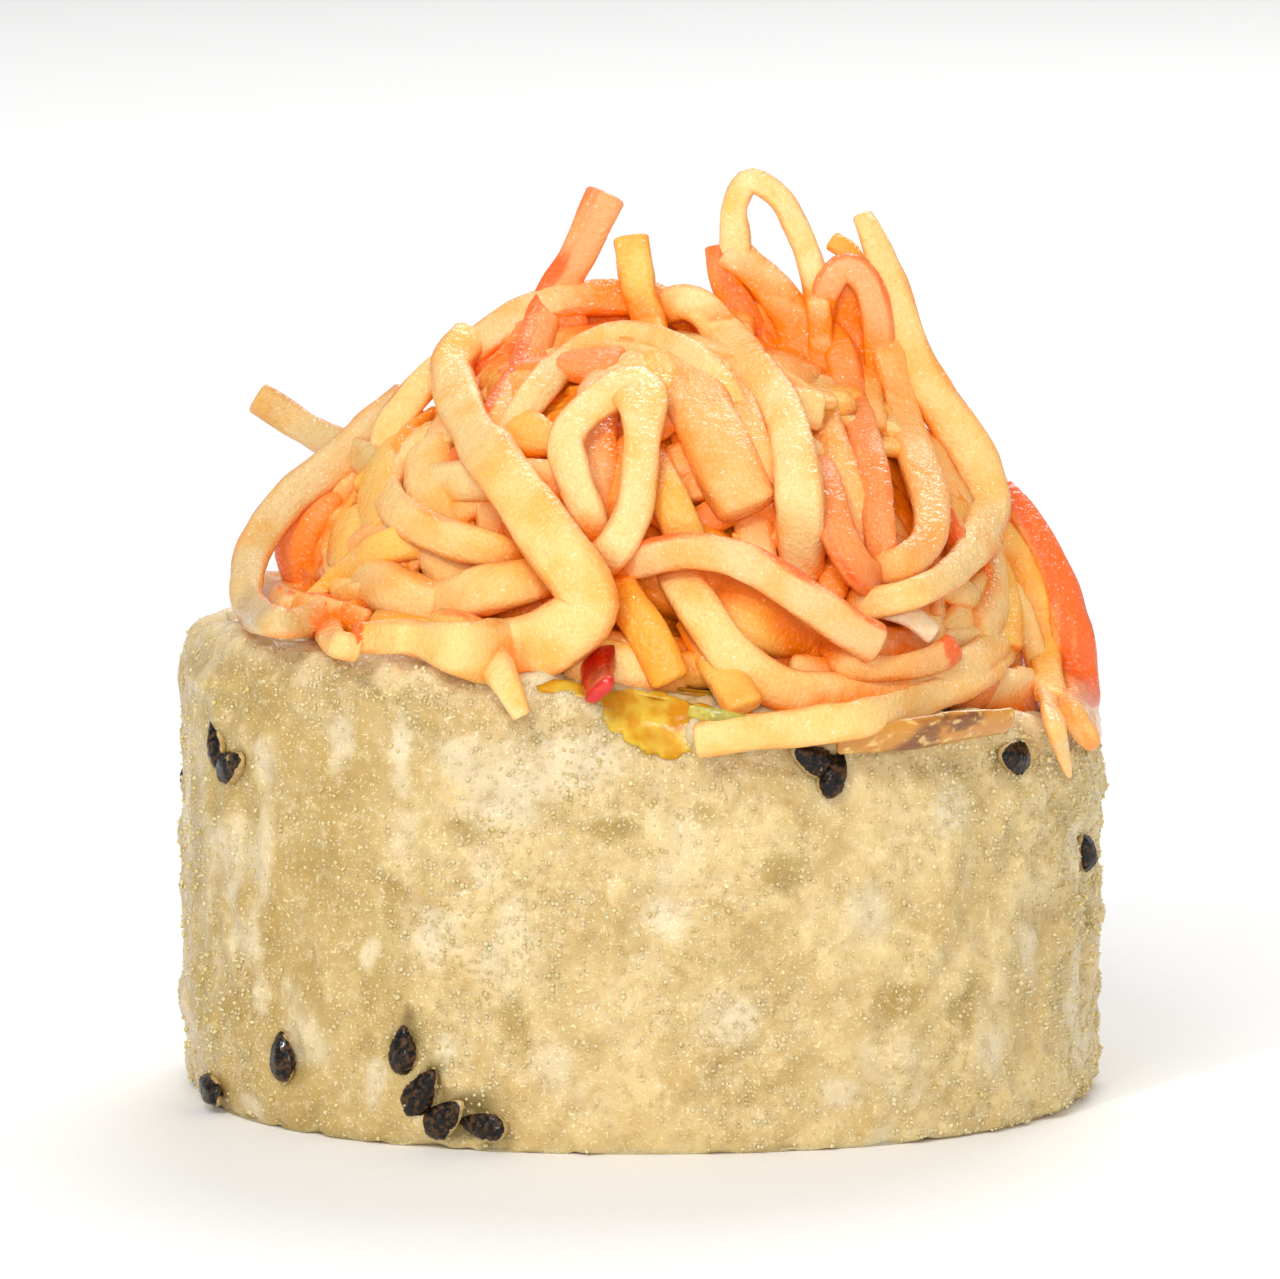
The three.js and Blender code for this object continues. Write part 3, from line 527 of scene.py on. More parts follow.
def crumb_finish():
    """Loose crumbs of batter: clear, pale and glinting."""
    f = Finish("batter_crumb", coat_weight=0.35, coat_roughness=0.15, **subsurface(0.5, 0.9, 0.7, 0.4))
    colour = f.mix(f.step(f.noise(1.6, 2), 0.4, 0.6), rgb(220, 190, 124), rgb(238, 214, 158))
    return f.finish(colour, f.step(f.noise(0.3, 1), 0.4, 0.6, 0.15, 0.35), f.bump(f.noise(0.12, 1), 0.03))


def seed_finish():
    """Black sesame, ribbed along its length and partly under a film of batter."""
    f = Finish("black_sesame", specular_ior_level=0.15, coat_weight=0.45, coat_roughness=0.1, coat_ior=1.4)
    ribs = f.noise(0.3, 2)
    # Brown on the rib tops: partly the seed's own brown, partly painted glints.
    black = f.mix(f.step(ribs, 0.45, 0.7), rgb(9, 7, 6), rgb(84, 54, 26))
    ragged = f.roughened(f.attribute("film"), f.noise(0.8, 2), 1.1)
    colour = f.mix(f.step(ragged, 0.62, 0.74), black, rgb(190, 160, 104))
    return f.finish(colour, f.step(ribs, 0.4, 0.7, 0.25, 0.5), f.bump(ribs, 0.16))


def nori_finish():
    """Sea weed: nearly black green, crinkled and a little glossy."""
    f = Finish("nori", coat_weight=0.25, coat_roughness=0.3)
    weave = f.noise(0.35, 3, roughness=0.7)
    colour = f.mix(f.step(weave, 0.4, 0.65), rgb(14, 17, 10), rgb(46, 50, 24))
    return f.finish(colour, f.step(weave, 0.3, 0.7, 0.35, 0.6), f.bump(weave, 0.12))


def filling_finish(name, dark, main, light, size, stretch=(1, 1, 1), roughness=0.22):
    """A moist filling, streaked and speckled between three colours."""
    f = Finish(name, coat_weight=0.6, coat_roughness=0.1, **subsurface(0.3, 1.5, 0.8, 0.3))
    place = f.scaled(f.place, stretch)
    broad, fine = f.noise(size, 3, place, distortion=0.4), f.noise(size / 5, 2, place)
    colour = f.mix(f.step(broad, 0.38, 0.55), rgb(*dark), rgb(*main))
    colour = f.mix(f.step(fine, 0.5, 0.72, 0, 0.7), colour, rgb(*light))
    colour = f.mix(f.attribute("skin"), colour, rgb(*dark))
    normal = f.bump(fine, 0.12, f.bump(broad, 0.25))
    return f.finish(colour, f.step(fine, 0.35, 0.7, roughness + 0.15, roughness), normal)


def sauce_finish():
    """Golden, clear, wet sauce."""
    f = Finish("golden_sauce", coat_weight=0.15, coat_roughness=0.2, specular_ior_level=0.2,
               **subsurface(0.6, 2, 1.2, 0.3))
    colour = f.mix(f.step(f.noise(1.2, 2), 0.35, 0.65), rgb(222, 140, 4), rgb(240, 184, 60))
    return f.finish(colour, f.step(f.noise(0.5, 1), 0.4, 0.6, 0.12, 0.3), f.bump(f.noise(0.6, 2), 0.05))


def crab_finish(name, wet=1):
    """Shredded crab stick: wet flesh with faint fibres, red skin on some sides, an orange painted shade in
    the hollows and on the strands' sides that also stands for sauce there, and painted glints.
    """
    f = Finish(name, coat_weight=wet, coat_roughness=0.07, coat_ior=1.4, specular_ior_level=0.2)
    flow = f.attribute("flow", "Vector")
    fibres = f.noise(0.5, 2, f.scaled(flow, (0.25, 1, 1)), roughness=0.55)
    fine = f.noise(0.22, 2)
    tint = f.attribute("tint", "Color")
    warm = f.mix(1.0, tint, rgb(255, 232, 186), "MULTIPLY")
    colour = f.mix(f.step(f.noise(2.6, 2), 0.42, 0.68), tint, warm)
    pale = f.mix(1.0, tint, rgb(80, 70, 50), "SCREEN")
    colour = f.mix(f.step(fibres, 0.5, 0.75, 0, 0.25), colour, pale)
    darker = f.mix(1.0, colour, rgb(250, 214, 150), "MULTIPLY")
    colour = f.mix(f.step(fine, 0.5, 0.3, 0, 0.3), colour, darker)
    # Painted shade: strong orange where the flesh lies low between higher strands and on a strand's sides,
    # partly the colour of sauce gathered there.
    colour = f.mix(f.attribute("deep"), colour, rgb(250, 130, 0))
    streaks = f.noise(0.9, 3, f.scaled(flow, (0.3, 1, 1)), roughness=0.65)
    ragged = f.roughened(f.attribute("red"), streaks, 1.5)
    colour = f.mix(f.step(ragged, 0.25, 0.9, 0, 0.92), colour, rgb(250, 96, 0))
    # Painted highlight: small near-white specks in the colour stand for glints on the wet flesh.
    colour = f.mix(f.step(f.noise(0.17, 1), 0.68, 0.76, 0, 0.5), colour, rgb(255, 244, 216))
    normal = f.bump(fibres, 0.04, f.bump(fine, 0.07))
    wet_normal = f.bump(f.noise(0.5, 1), 0.3, f.bump(f.noise(0.2, 1), 0.13, normal))
    return f.finish(colour, f.step(fibres, 0.35, 0.7, 0.32, 0.5), normal, wet_normal)


# --- The roll --------------------------------------------------------------------------------------

COLUMNS = 640
ROW = 0.212  # mm between rows
GRAIN_PITCH = 2.9  # mm from one grain of rice to the next
SIDE_END, CUT_START = 23.5, 25.5  # mm up the outside, between which the batter ends at the rim

# (inset, share of the cut's height, mm above), up the outside and over the rim, then down the inside.
OUTSIDE = [
    (2.8, 0, 0), (0.9, 0, 0.05), (0.15, 0.05, 0), (0, 0.17, 0), (0, 0.34, 0), (0, 0.51, 0), (0, 0.68, 0),
    (0, 0.85, 0), (0.35, 1, -RIM_DROP), (1.3, 1, -0.25), (2.6, 1, 0.1), (3.8, 1, 0.1), (WALL, 1, -0.3),
]
INSIDE = [(WALL, 0.9, 0), (WALL, 0.6, 0), (WALL, 0.3, 0), (WALL, 0, 0)]


def roll_profile():
    """The rows of the rice ring, and how far along the outside each lies. Rows on the inside come last."""
    outside = np.array([(inset, share * CUT_HEIGHT, above) for inset, share, above in OUTSIDE])
    fine = spline(outside, ROW)
    fine[:, 1] /= CUT_HEIGHT
    return np.vstack([fine, np.array(INSIDE)]), len(fine)


def scattered_seeds():
    random = random_from(5)
    rule = SCATTERED_SEEDS
    spacing = rule["sweep"] / rule["count"]
    for n in range(rule["count"]):
        angle = rule["start"] + (n + 0.2 + 0.6 * next(random)) * spacing
        yield angle, rule["low"] + (rule["high"] - rule["low"]) * next(random), 180 * next(random)


ALL_SEEDS = [*SEEDS, *scattered_seeds()]


def grain_relief(s, t, rng):
    """Domes of the grains under the batter. s is mm round the roll and t mm up its outside, over the rim."""
    height = np.zeros(s.shape)
    columns = round(AROUND / GRAIN_PITCH)
    for row in range(round(t.max() / GRAIN_PITCH) + 1):
        for column in range(columns):
            across = (column + rng.uniform(0, 1)) * AROUND / columns
            up = (row + rng.uniform(0, 1)) * GRAIN_PITCH
            tilt = rng.normal(math.pi / 2, 0.75)
            length, width, show = rng.uniform(2.3, 3.2), rng.uniform(0.95, 1.3), rng.uniform(0.35, 1)
            away = (s - across + AROUND / 2) % AROUND - AROUND / 2
            near = (np.abs(away) < length) & (np.abs(t - up) < length)
            x, y = away[near], t[near] - up
            along = x * math.cos(tilt) + y * math.sin(tilt)
            side = y * math.cos(tilt) - x * math.sin(tilt)
            dome = np.clip(1 - (along / length) ** 2 - (side / width) ** 2, 0, 1) ** 0.8 * show
            height[near] = np.maximum(height[near], dome)
    return height


# Degrees round the roll, height and reach of the brown stains round some seeds.
STAINS = ((243.5, 3.2, 2.3), (250, 1.6, 2.6), (240, 6.2, 1.7), (301, 19.6, 1.5))


def scorch_marks(grid):
    """From 0 to 1, where the batter is browned and stained round seeds."""
    angle = np.arctan2(grid[..., 1], grid[..., 0])
    marks = 0
    for degrees, height, reach in STAINS:
        distance = np.hypot(across_from(angle, degrees), grid[..., 2] - height)
        marks = np.maximum(marks, smooth_step(distance, reach, 0.3 * reach))
    return marks * smooth_step(noise(grid, 0.9, 71), -0.35, 0.35)


# Degrees round the roll, height, and size along and up: where the batter is thin over pale rice, and
# where it is thick and golden.
PALE_PATCHES = [
    (231, 20.5, 1.4, 4.2), (240, 20, 1.1, 3.8), (216, 10, 1.4, 4), (217, 6.8, 1.4, 2.4), (255, 18.8, 6.5, 4),
    (265, 20, 5.5, 3), (245, 10.9, 2.4, 2.8), (235, 9.7, 1, 1.8), (236, 3.1, 1.2, 2.6), (246, 5.1, 1.1, 2.4),
    (214, 0.8, 2, 1.4), (218, 18.9, 1.2, 2), (287, 6.8, 3, 2.5), (319, 17, 2.4, 3), (307, 11.9, 2.4, 3),
    (333, 9.4, 1.8, 2.6), (278, 12.4, 2.6, 2.4), (303, 3, 3, 2), (326, 4, 2, 2.6), (248, 20.4, 2.6, 2),
]
GOLD_PATCHES = [
    (230, 15.4, 1.1, 3.5), (222, 14, 1.2, 2.8), (239, 12.2, 1.6, 3), (217, 20.4, 1, 3), (234, 18.4, 2.4, 1),
    (249, 16.3, 2, 1.8), (205, 9.4, 1.2, 3), (235, 7.4, 2, 2.6), (256, 6.9, 2, 3), (295, 14.2, 3, 2),
    (323, 7.2, 2, 3.4), (270, 16.5, 3, 1.4), (283, 17.2, 2.4, 1.6), (311, 7.4, 2.6, 1.8),
    (226, 4.6, 1.6, 2.4),
]
BACK_PATCHES = 60  # more of each kind, where the photograph doesn't show


def more_patches(rng):
    """Random patches on the roll's back and sides."""
    return [(rng.uniform(-22, 196), rng.uniform(1, 21), rng.uniform(1, 3), rng.uniform(1.6, 4))
            for _ in range(BACK_PATCHES)]


def patches(grid, entries, seed):
    """From 0 to 1, inside ragged ovals on the roll's side."""
    angle = np.arctan2(grid[..., 1], grid[..., 0])
    ragged = 0.4 * layered_noise(grid, 1.3, 3, seed)
    inside = np.zeros(angle.shape)
    for degrees, height, wide, tall in entries:
        across = across_from(angle, degrees) / (0.5 * wide)
        distance = np.hypot(across, (grid[..., 2] - height) / (0.5 * tall))
        inside = np.maximum(inside, smooth_step(distance + ragged, 1.35, 0.45))
    return inside


# Degrees round the roll where the rim's edge is square and golden, and how far on either side that goes.
CORNER, SQUARE_REACH, GOLD_REACH = 203, 13, 56
EDGE, EDGE_WIDTH = 22.2, 0.9  # where that edge lies, in mm up the outside
CRUSTY_SIDE = math.radians(320)  # where the batter is roughest


def beds_of_seeds(grid, angles):
    """From 0 to 1, where the batter is flat under the seeds."""
    beds = 0
    for degrees, level, _ in ALL_SEEDS:
        near = np.hypot(across_from(angles, degrees), grid[..., 2] - level)
        beds = np.maximum(beds, smooth_step(near, 2, 0.8))
    return beds


def batter_relief(grid, angles, grain, on_side, crusty):
    """Mm that the batter stands out, with its grains of rice, lumps and fused crumbs."""
    distance, number = cells(grid, 0.8, 5)
    crumbs = np.clip(0.75 - distance, 0, 1) * (0.3 + number)
    small, _ = cells(grid, 0.4, 9)
    height = (0.3 + 0.2 * (1 - on_side)) * grain - 0.14
    height += 0.16 * layered_noise(grid, 2.6, 3, 11)
    height += (0.02 + 0.36 * crusty) * crumbs * on_side
    height += (0.02 + 0.1 * crusty) * np.clip(0.6 - small, 0, 1)
    return height - 0.2 * beds_of_seeds(grid, angles) * on_side


def batter_shades(grid, turned, on_side, rng):
    """From 0 to 1, how pale the batter is and how golden. turned is degrees from the golden corner."""
    pale = patches(grid, PALE_PATCHES + more_patches(rng), 74) * 0.65
    thin = smooth_step(layered_noise(grid * (1, 1, 0.55), 2.6, 3, 79), 0.25, 1)
    pale = np.maximum(pale, 0.6 * thin) * on_side
    gold = patches(grid, GOLD_PATCHES + more_patches(rng), 75) * on_side * 0.7
    corner = 0.9 * smooth_step(turned, GOLD_REACH, 0.25 * GOLD_REACH) * (0.7 + 0.3 * noise(grid, 2, 76))
    return pale, np.maximum(gold, corner) * (1 - pale)


def rice_body(rng):
    profile, fine_rows = roll_profile()
    angles = np.linspace(0, 2 * math.pi, COLUMNS, endpoint=False)
    grid = ring_grid(angles, profile)
    normals = grid_normals(grid)
    rows = np.arange(len(profile))[:, None] + 0 * angles
    is_outside = rows < fine_rows
    t, s = np.minimum(rows, fine_rows) * ROW, angles[None, :] * MEAN_RADIUS + 0 * rows
    grain = grain_relief(s, t, rng)
    on_side = 1 - smooth_step(t, SIDE_END, CUT_START)
    weight = smooth_step(t, 1.9, 3) * is_outside
    crusty = smooth_step(layered_noise(grid, 6, 2, 3) + 0.5 * np.cos(angles - CRUSTY_SIDE), -0.1, 0.9)
    height = batter_relief(grid, angles, grain, on_side, crusty)
    turned = np.abs((np.degrees(angles) - CORNER + 180) % 360 - 180)
    pale, gold = batter_shades(grid, turned, on_side, rng)
    square = smooth_step(turned, SQUARE_REACH, 0.4 * SQUARE_REACH) * np.exp(-(((t - EDGE) / EDGE_WIDTH) ** 2))
    grid = grid + normals * (height * weight + 0.6 * square)[..., None]
    flat = flattened(grid)
    chip = np.clip(0.3 * noise(flat, 3.2, 77) + 0.25 * noise(flat, 0.9, 78) + 0.02, 0, 0.6)
    grid[..., 2] += chip * smooth_step(grid[..., 2], 1.6, 0) * is_outside
    grid[..., 2] = np.maximum(grid[..., 2], 0)
    shape = Shape()
    shape.add(grid, grid_faces(*grid.shape[:2], wrap_rows=True), grain=grain.ravel(), pale=pale.ravel(),
              gold=gold.ravel(), cut=(1 - on_side).ravel(), scorch=(scorch_marks(grid) * on_side).ravel())
    shape.make("rice_body", batter_finish(), "rice_ring")
    return grid[:fine_rows], normals[:fine_rows], t[:fine_rows], crusty[:fine_rows]


def random_turns(rng, count):
    """Random orthonormal axes, one set for each thing."""
    first = unit(rng.normal(size=(count, 3)))
    second = unit(np.cross(first, rng.normal(size=(count, 3))))
    return np.stack([first, second, np.cross(first, second)], 1)


def icosahedron():
    g = (1 + 5**0.5) / 2
    points = np.array([(-1, g, 0), (1, g, 0), (-1, -g, 0), (1, -g, 0), (0, -1, g), (0, 1, g), (0, -1, -g),
                       (0, 1, -g), (g, 0, -1), (g, 0, 1), (-g, 0, -1), (-g, 0, 1)])
    faces = [(0, 11, 5), (0, 5, 1), (0, 1, 7), (0, 7, 10), (0, 10, 11), (1, 5, 9), (5, 11, 4), (11, 10, 2),
             (10, 7, 6), (7, 1, 8), (3, 9, 4), (3, 4, 2), (3, 2, 6), (3, 6, 8), (3, 8, 9), (4, 9, 5),
             (2, 4, 11), (6, 2, 10), (8, 6, 7), (9, 8, 1)]
    return unit(points), faces


CRUMBS = 9000


def batter_crumbs(surface, rng):
    """Small loose crumbs all over the batter, thickest where it is crusty."""
    grid, normals, t, crusty = surface
    ball, faces = icosahedron()
    corners = len(ball)
    allowed = np.flatnonzero(((t > 2.2) & (t < CUT_START)).ravel())
    odds = 0.25 + crusty.ravel()[allowed]
    spots = rng.choice(allowed, CRUMBS, replace=False, p=odds / odds.sum())
    sizes = rng.uniform(0.05, 0.13, (CRUMBS, 1, 1)) * rng.uniform(0.6, 1.4, (CRUMBS, 1, 3))
    local = (ball[None] * rng.uniform(0.75, 1.25, (CRUMBS, corners, 1)) * sizes) @ random_turns(rng, CRUMBS)
    centres = grid.reshape(-1, 3)[spots] + normals.reshape(-1, 3)[spots] * sizes.mean((1, 2))[:, None] * 0.3
    points = local + centres[:, None]
    points[..., 2] = np.maximum(points[..., 2], 0)
    shape = Shape()
    numbers = (np.array(faces)[None] + corners * np.arange(CRUMBS)[:, None, None]).reshape(-1, 3)
    shape.add(points, numbers.tolist())
    shape.make("batter_crumbs", crumb_finish(), "rice_ring")


def sesame_seeds(rng):
    """Tear-shaped seeds, each flat side to the roll, with a few low ribs."""
    shape = Shape()
    rings, sides = 26, 18
    along = np.linspace(0, 1, rings)[:, None]
    turn = np.linspace(0, 2 * math.pi, sides, endpoint=False)[None, :]
    full = np.sqrt(np.clip(1 - (2 * along - 1) ** 2, 0, 1)) * (1.16 - 0.6 * along**1.5)
    for degrees, height, tilt in ALL_SEEDS:
        angle, lean = math.radians(degrees), math.radians(tilt)
        rib = 1 + 0.09 * np.cos(5 * turn + rng.uniform(0, 6)) + 0.035 * rng.normal(size=(rings, sides))
        size = rng.uniform((0.75, 0.72, 0.82), (1, 0.95, 1))
        x = 0.5 * SEED_THICKNESS * size[0] * full * rib * np.cos(turn)
        y = 0.5 * SEED_WIDTH * size[1] * full * rib * np.sin(turn)
        z = SEED_LENGTH * size[2] * (along - 0.5) + 0 * turn
        film = 0.75 * smooth_step(x, 0.3, -0.05) + rng.choice((0, 0.1, 0.4))
        y, z = turned_by(lean, y, z)
        radius = float(plan_radius(np.array(angle))) - SEED_SUNK - 0.08
        x, y = turned_by(angle, x + radius, y)
        shape.add_tube(points_of(x, y, np.maximum(z + height, 0)), film=film.ravel())
    shape.make("sesame_seeds", seed_finish(), "rice_ring")


UNEVEN = (14, 20)  # the heights between which the nori and the fillings change from smooth to uneven


def nori_sheet():
    angles = np.linspace(0, 2 * math.pi, COLUMNS // 2, endpoint=False)
    outer, inner = WALL + GAP, WALL + GAP + NORI_THICKNESS
    edge = [(outer, 1, 0.1), (outer + 0.12, 1, 0.25), (inner - 0.12, 1, 0.25), (inner, 1, 0.1)]
    profile = [(outer, 0, GAP), *((outer, share, 0) for share in np.linspace(0.1, 0.97, 14)), *edge,
               *((inner, share, 0) for share in np.linspace(0.97, 0.1, 14)), (inner, 0, GAP)]
    grid = ring_grid(angles, np.array(profile))
    flat = flattened(grid)
    high = smooth_step(grid[..., 2], *UNEVEN)
    grid = grid + unit(flat) * (0.1 * noise(grid, 1.6, 21) * high)[..., None]
    grid[..., 2] += high * (0.35 * noise(flat, 1.3, 22) + 0.2 * noise(flat, 0.5, 23))
    shape = Shape()
    shape.add(grid, grid_faces(*grid.shape[:2], wrap_rows=True))
    shape.make("nori_wrap", nori_finish(), "nori_sheet")


# Ranges of x and y, mm above the cut, and how lumpy the top is.
FILLINGS = {
    "filling_pepper": dict(x=(-25, -0.6), y=(-25, -7), above=1.2, lumps=0.15),
    "filling_avocado": dict(x=(-0.3, 8.6), y=(-25, -7), above=0.2, lumps=0.35),
    "filling_cucumber": dict(x=(-25, 8.6), y=(-6.7, 25), above=0, lumps=0.25),
    "filling_omelette": dict(x=(8.9, 25), y=(-25, 25), above=0.6, lumps=0.3),
}


OUTLINE_POINTS, ROOM_POINTS = 180, 1440
BEVEL = 0.55


def filling_outline(x, y):
    """Points round the part of the room inside the nori that lies in a range of x and y, and its middle."""
    turns = np.linspace(0, 2 * math.pi, ROOM_POINTS, endpoint=False)
    room = plan_point(turns, WALL + NORI_THICKNESS + 2 * GAP)
    inside = room[(room[:, 0] > x[0]) & (room[:, 0] < x[1]) & (room[:, 1] > y[0]) & (room[:, 1] < y[1])]
    low, high = inside.min(0), inside.max(0)
    low, high = np.maximum(low, (x[0], y[0])), np.minimum(high, (x[1], y[1]))
    middle = (low + high) / 2
    ways = np.linspace(0, 2 * math.pi, OUTLINE_POINTS, endpoint=False)
    way = points_of(np.cos(ways), np.sin(ways))
    a, b = room - middle, np.roll(room, -1, 0) - middle
    cross = a[:, 0] * b[:, 1] - a[:, 1] * b[:, 0]
    reach = []
    for wx, wy in way:
        side_a, side_b = wx * a[:, 1] - wy * a[:, 0], wx * b[:, 1] - wy * b[:, 0]
        hits = (side_a <= 0) & (side_b > 0)
        wall = (cross[hits] / (side_b - side_a)[hits]).max()
        planes = [(bound - m) / w for w, m, bounds in ((wx, middle[0], x), (wy, middle[1], y))
                  for bound in bounds if w * (bound - m) > 1e-6]
        reach.append(min([wall, *planes]))
    return way * np.array(reach)[:, None], middle


def filling(name, finish, rng, x, y, above, lumps):
    """A strip of filling, its top edge rounded and its top a little uneven."""
    outline, middle = filling_outline(x, y)
    inward = 1 - BEVEL / np.linalg.norm(outline, axis=1)[:, None]
    grid = []
    for share in (0, 0.3, 0.6, 0.8, 0.92):
        flat = middle + outline
        grid.append(np.column_stack([flat, share * (cut_height(*flat.T) + above - BEVEL)]))
    for turn in np.linspace(0, math.pi / 2, 6):
        flat = middle + outline * (1 - (1 - inward) * (1 - math.cos(turn)))
        grid.append(np.column_stack([flat, cut_height(*flat.T) + above - BEVEL * (1 - math.sin(turn))]))
    for share in np.linspace(0.94, 0.02, 26):
        flat = middle + outline * inward * share
        grid.append(np.column_stack([flat, cut_height(*flat.T) + above]))
    grid = np.array(grid)
    high = smooth_step(grid[..., 2], *UNEVEN)
    seed = int(rng.integers(1000))
    grid[..., 2] += high * lumps * (layered_noise(flattened(grid), 3, 3, seed) - 0.3)
    away = np.linalg.norm((grid[..., :2] - middle), axis=-1) / np.linalg.norm(outline, axis=1)
    shape = Shape()
    shape.add_tube(grid, skin=smooth_step(away, 0.9, 0.985).ravel() * 0.8)
    shape.make(name.replace("filling_", "") + "_strip", finish, name)


# --- The heap --------------------------------------------------------------------------------------

RIGHT = np.array((1, 0, 0))
FORWARD = np.array((0, math.cos(EYE_PITCH), -math.sin(EYE_PITCH)))
UP = np.array((0, math.sin(EYE_PITCH), math.cos(EYE_PITCH)))
EYE = RIGHT * EYE_U + UP * EYE_V - FORWARD * EYE_DISTANCE


def is_clear_of_roll(p):
    outside = math.hypot(p[0], p[1]) - float(plan_radius(np.array(math.atan2(p[1], p[0]))))
    worn = float(worn_by(p[0], p[1])) if outside > -WALL / 2 else 0
    return outside > REST or p[2] > cut_height(p[0], p[1]) - worn + REST


def drawn_point(u, v, lift):
    """The point seen at (u, v), a lift in front of the core and brought forward until it clears the roll."""
    ray = unit(RIGHT * u + UP * v - EYE)
    start, along = (EYE - CORE_CENTRE) / CORE_RADII, ray / CORE_RADII
    a, b, c = along @ along, start @ along, start @ start - 1
    reach = (-b - math.sqrt(max(0, b * b - a * c))) / a
    p = EYE + ray * (reach - lift)
    while not is_clear_of_roll(p):
        p = p - ray * 0.25
    return p


def outward(points):
    return unit((points - CORE_CENTRE) / CORE_RADII**2)


def strand_frames(middle, facing):
    """Headings, outward directions and side directions along a strand's middle line.

    With facing at 1 the strand's flat side is turned to the front, and at 0 it lies on the core.
    """
    heading = unit(np.gradient(middle, axis=0))
    out = facing * unit(EYE - middle) + (1 - 0.7 * facing) * outward(middle)
    out = out - heading * (out * heading).sum(-1, keepdims=True)
    for n in range(1, len(out)):
        if np.linalg.norm(out[n]) < 0.35 or out[n] @ out[n - 1] < 0:
            out[n] = out[n - 1] - heading[n] * (out[n - 1] @ heading[n])
    for _ in range(6):
        out[1:-1] = unit(unit(out[1:-1]) + 0.5 * (unit(out[:-2]) + unit(out[2:])))
    out = unit(out - heading * (out * heading).sum(-1, keepdims=True))
    return heading, out, np.cross(heading, out)


FINE, COARSE = (20, 0.34), (12, 0.6)  # sides of a strand, and mm between its rings
NO_RED = (0, 0, 0)
SQUARENESS = 2.6  # the power of the superellipse of a strand's section
CAPS = ((0.3, 0.02), (0.66, 0.05), (0.88, 0.14), (0.97, 0.28))  # a rounded end's rings: size and way back


def cap_rings(middle, ring, way, width):
    """The rings of a strand's rounded end, from its tip."""
    return [middle + way * (0.4 - back) * width * 0.35 + (ring - middle) * size for size, back in CAPS]


class Strands(Shape):
    """Many strands in one mesh."""

    def __init__(self, rng, sides, spacing):
        super().__init__()
        self.rng, self.spacing, self.number = rng, spacing, 0
        self.turn = np.linspace(0, 2 * math.pi, sides, endpoint=False)[None, :]
        self.cos, self.sin = np.cos(self.turn), np.sin(self.turn)

    def section(self, along):
        """The reach of the surface round each ring: squarish, grooved lengthwise and torn at its edges."""
        along, other = along[:, None], 9.1 * self.number
        square = (np.abs(self.cos) ** SQUARENESS + np.abs(self.sin) ** SQUARENESS) ** (-1 / SQUARENESS)
        places = points_of(along * 0.35, 1.9 * self.cos, 1.9 * self.sin + other)
        grooves = 1 + 0.07 * noise(places, 0.8, 44) + 0.05 * noise(places, 0.35, 45)
        torn = smooth_step(noise(points_of(along, np.sign(self.cos), other), 1.5, 48), 0.1, 0.9)
        return square * (grooves - 0.1 * torn * smooth_step(np.abs(self.cos), 0.5, 0.95))

    def shades(self, along, thickness, red, red_end, pale_end):
        """The flow of the fibres, the share of red skin, and the orange painted shade on the strand's sides,
        which stands partly for sauce at its edges.
        """
        length, along = along[-1], along[:, None]
        flow = points_of(along, self.cos * thickness, self.sin * thickness + 5.7 * self.number)
        side, reach, strength = red
        at_side = smooth_step(side * self.cos, 0.85 - 0.75 * reach, 1.05 - 0.35 * reach)
        at_end = smooth_step(along, length - red_end, length - 0.4 * red_end) if red_end else 0
        bare = smooth_step(along, length - pale_end, length - 0.7 * pale_end) if pale_end else 0
        patchy = 0.8 + 0.4 * noise(flow, 2.4, 46)
        reds = np.maximum(at_side * strength * patchy * abs(side) * (1 - bare), at_end)
        # Painted shade: the strand's narrow edges are coloured towards orange, as they look when turned from
        # the light and under sauce.
        deep = 0.55 * smooth_step(np.abs(self.cos) + 0.3 * noise(flow, 1.6, 47), 0.66, 1.05)
        return flow, reds, deep

    def add_strand(self, middle, widths, tint, red=NO_RED, red_end=0, pale_end=0, tapers=(0, 0), facing=0):
        """A strand of rounded, flattened section along a middle line that is given at even steps."""
        self.number += 1
        length = np.linalg.norm(np.diff(middle, axis=0), axis=1).sum()
        along = np.linspace(0, length, len(middle))
        heading, out, side = strand_frames(middle, facing)
        line = points_of(along, 0, 17.3 * self.number)
        twist = (0.55 - 0.25 * facing) * noise(line, 9, 41) + self.rng.uniform(-0.2, 0.2)
        cos, sin = np.cos(twist)[:, None], np.sin(twist)[:, None]
        out, side = out * cos + side * sin, side * cos - out * sin
        width = np.interp(along, np.linspace(0, length, len(widths)), widths)
        half = 0.5 * width * (1 + 0.1 * noise(line, 3.5, 42))
        flatness = (0.45 + 0.08 * noise(line, 5, 43))[:, None]
        scale = np.ones(len(middle))
        for taper, distance in zip(tapers, (along, length - along)):
            if taper:
                scale *= 0.22 + 0.78 * np.clip(distance / taper, 0, 1) ** 0.7
        reach = self.section(along) * (half * scale)[:, None]
        rings = (middle[:, None] + side[:, None] * (reach * self.cos)[..., None]
                 + out[:, None] * (reach * self.sin * flatness)[..., None])
        start = cap_rings(middle[0], rings[0], -heading[0], width[0])
        end = cap_rings(middle[-1], rings[-1], heading[-1], width[-1])[::-1]
        rings = np.concatenate([start, rings, end])
        along = np.concatenate([np.zeros(len(CAPS)), along, np.full(len(CAPS), length)])
        flow, reds, deep = self.shades(along, half.mean(), red, red_end, pale_end)
        colour = np.array(rgb(*TINTS[tint]))
        colour[:3] *= self.rng.uniform(0.97, 1.02)
        self.add_tube(rings, flow=flow.reshape(-1, 3), red=reds.ravel(), deep=deep.ravel(),
                      tint=np.broadcast_to(colour, (reds.size, 4)))


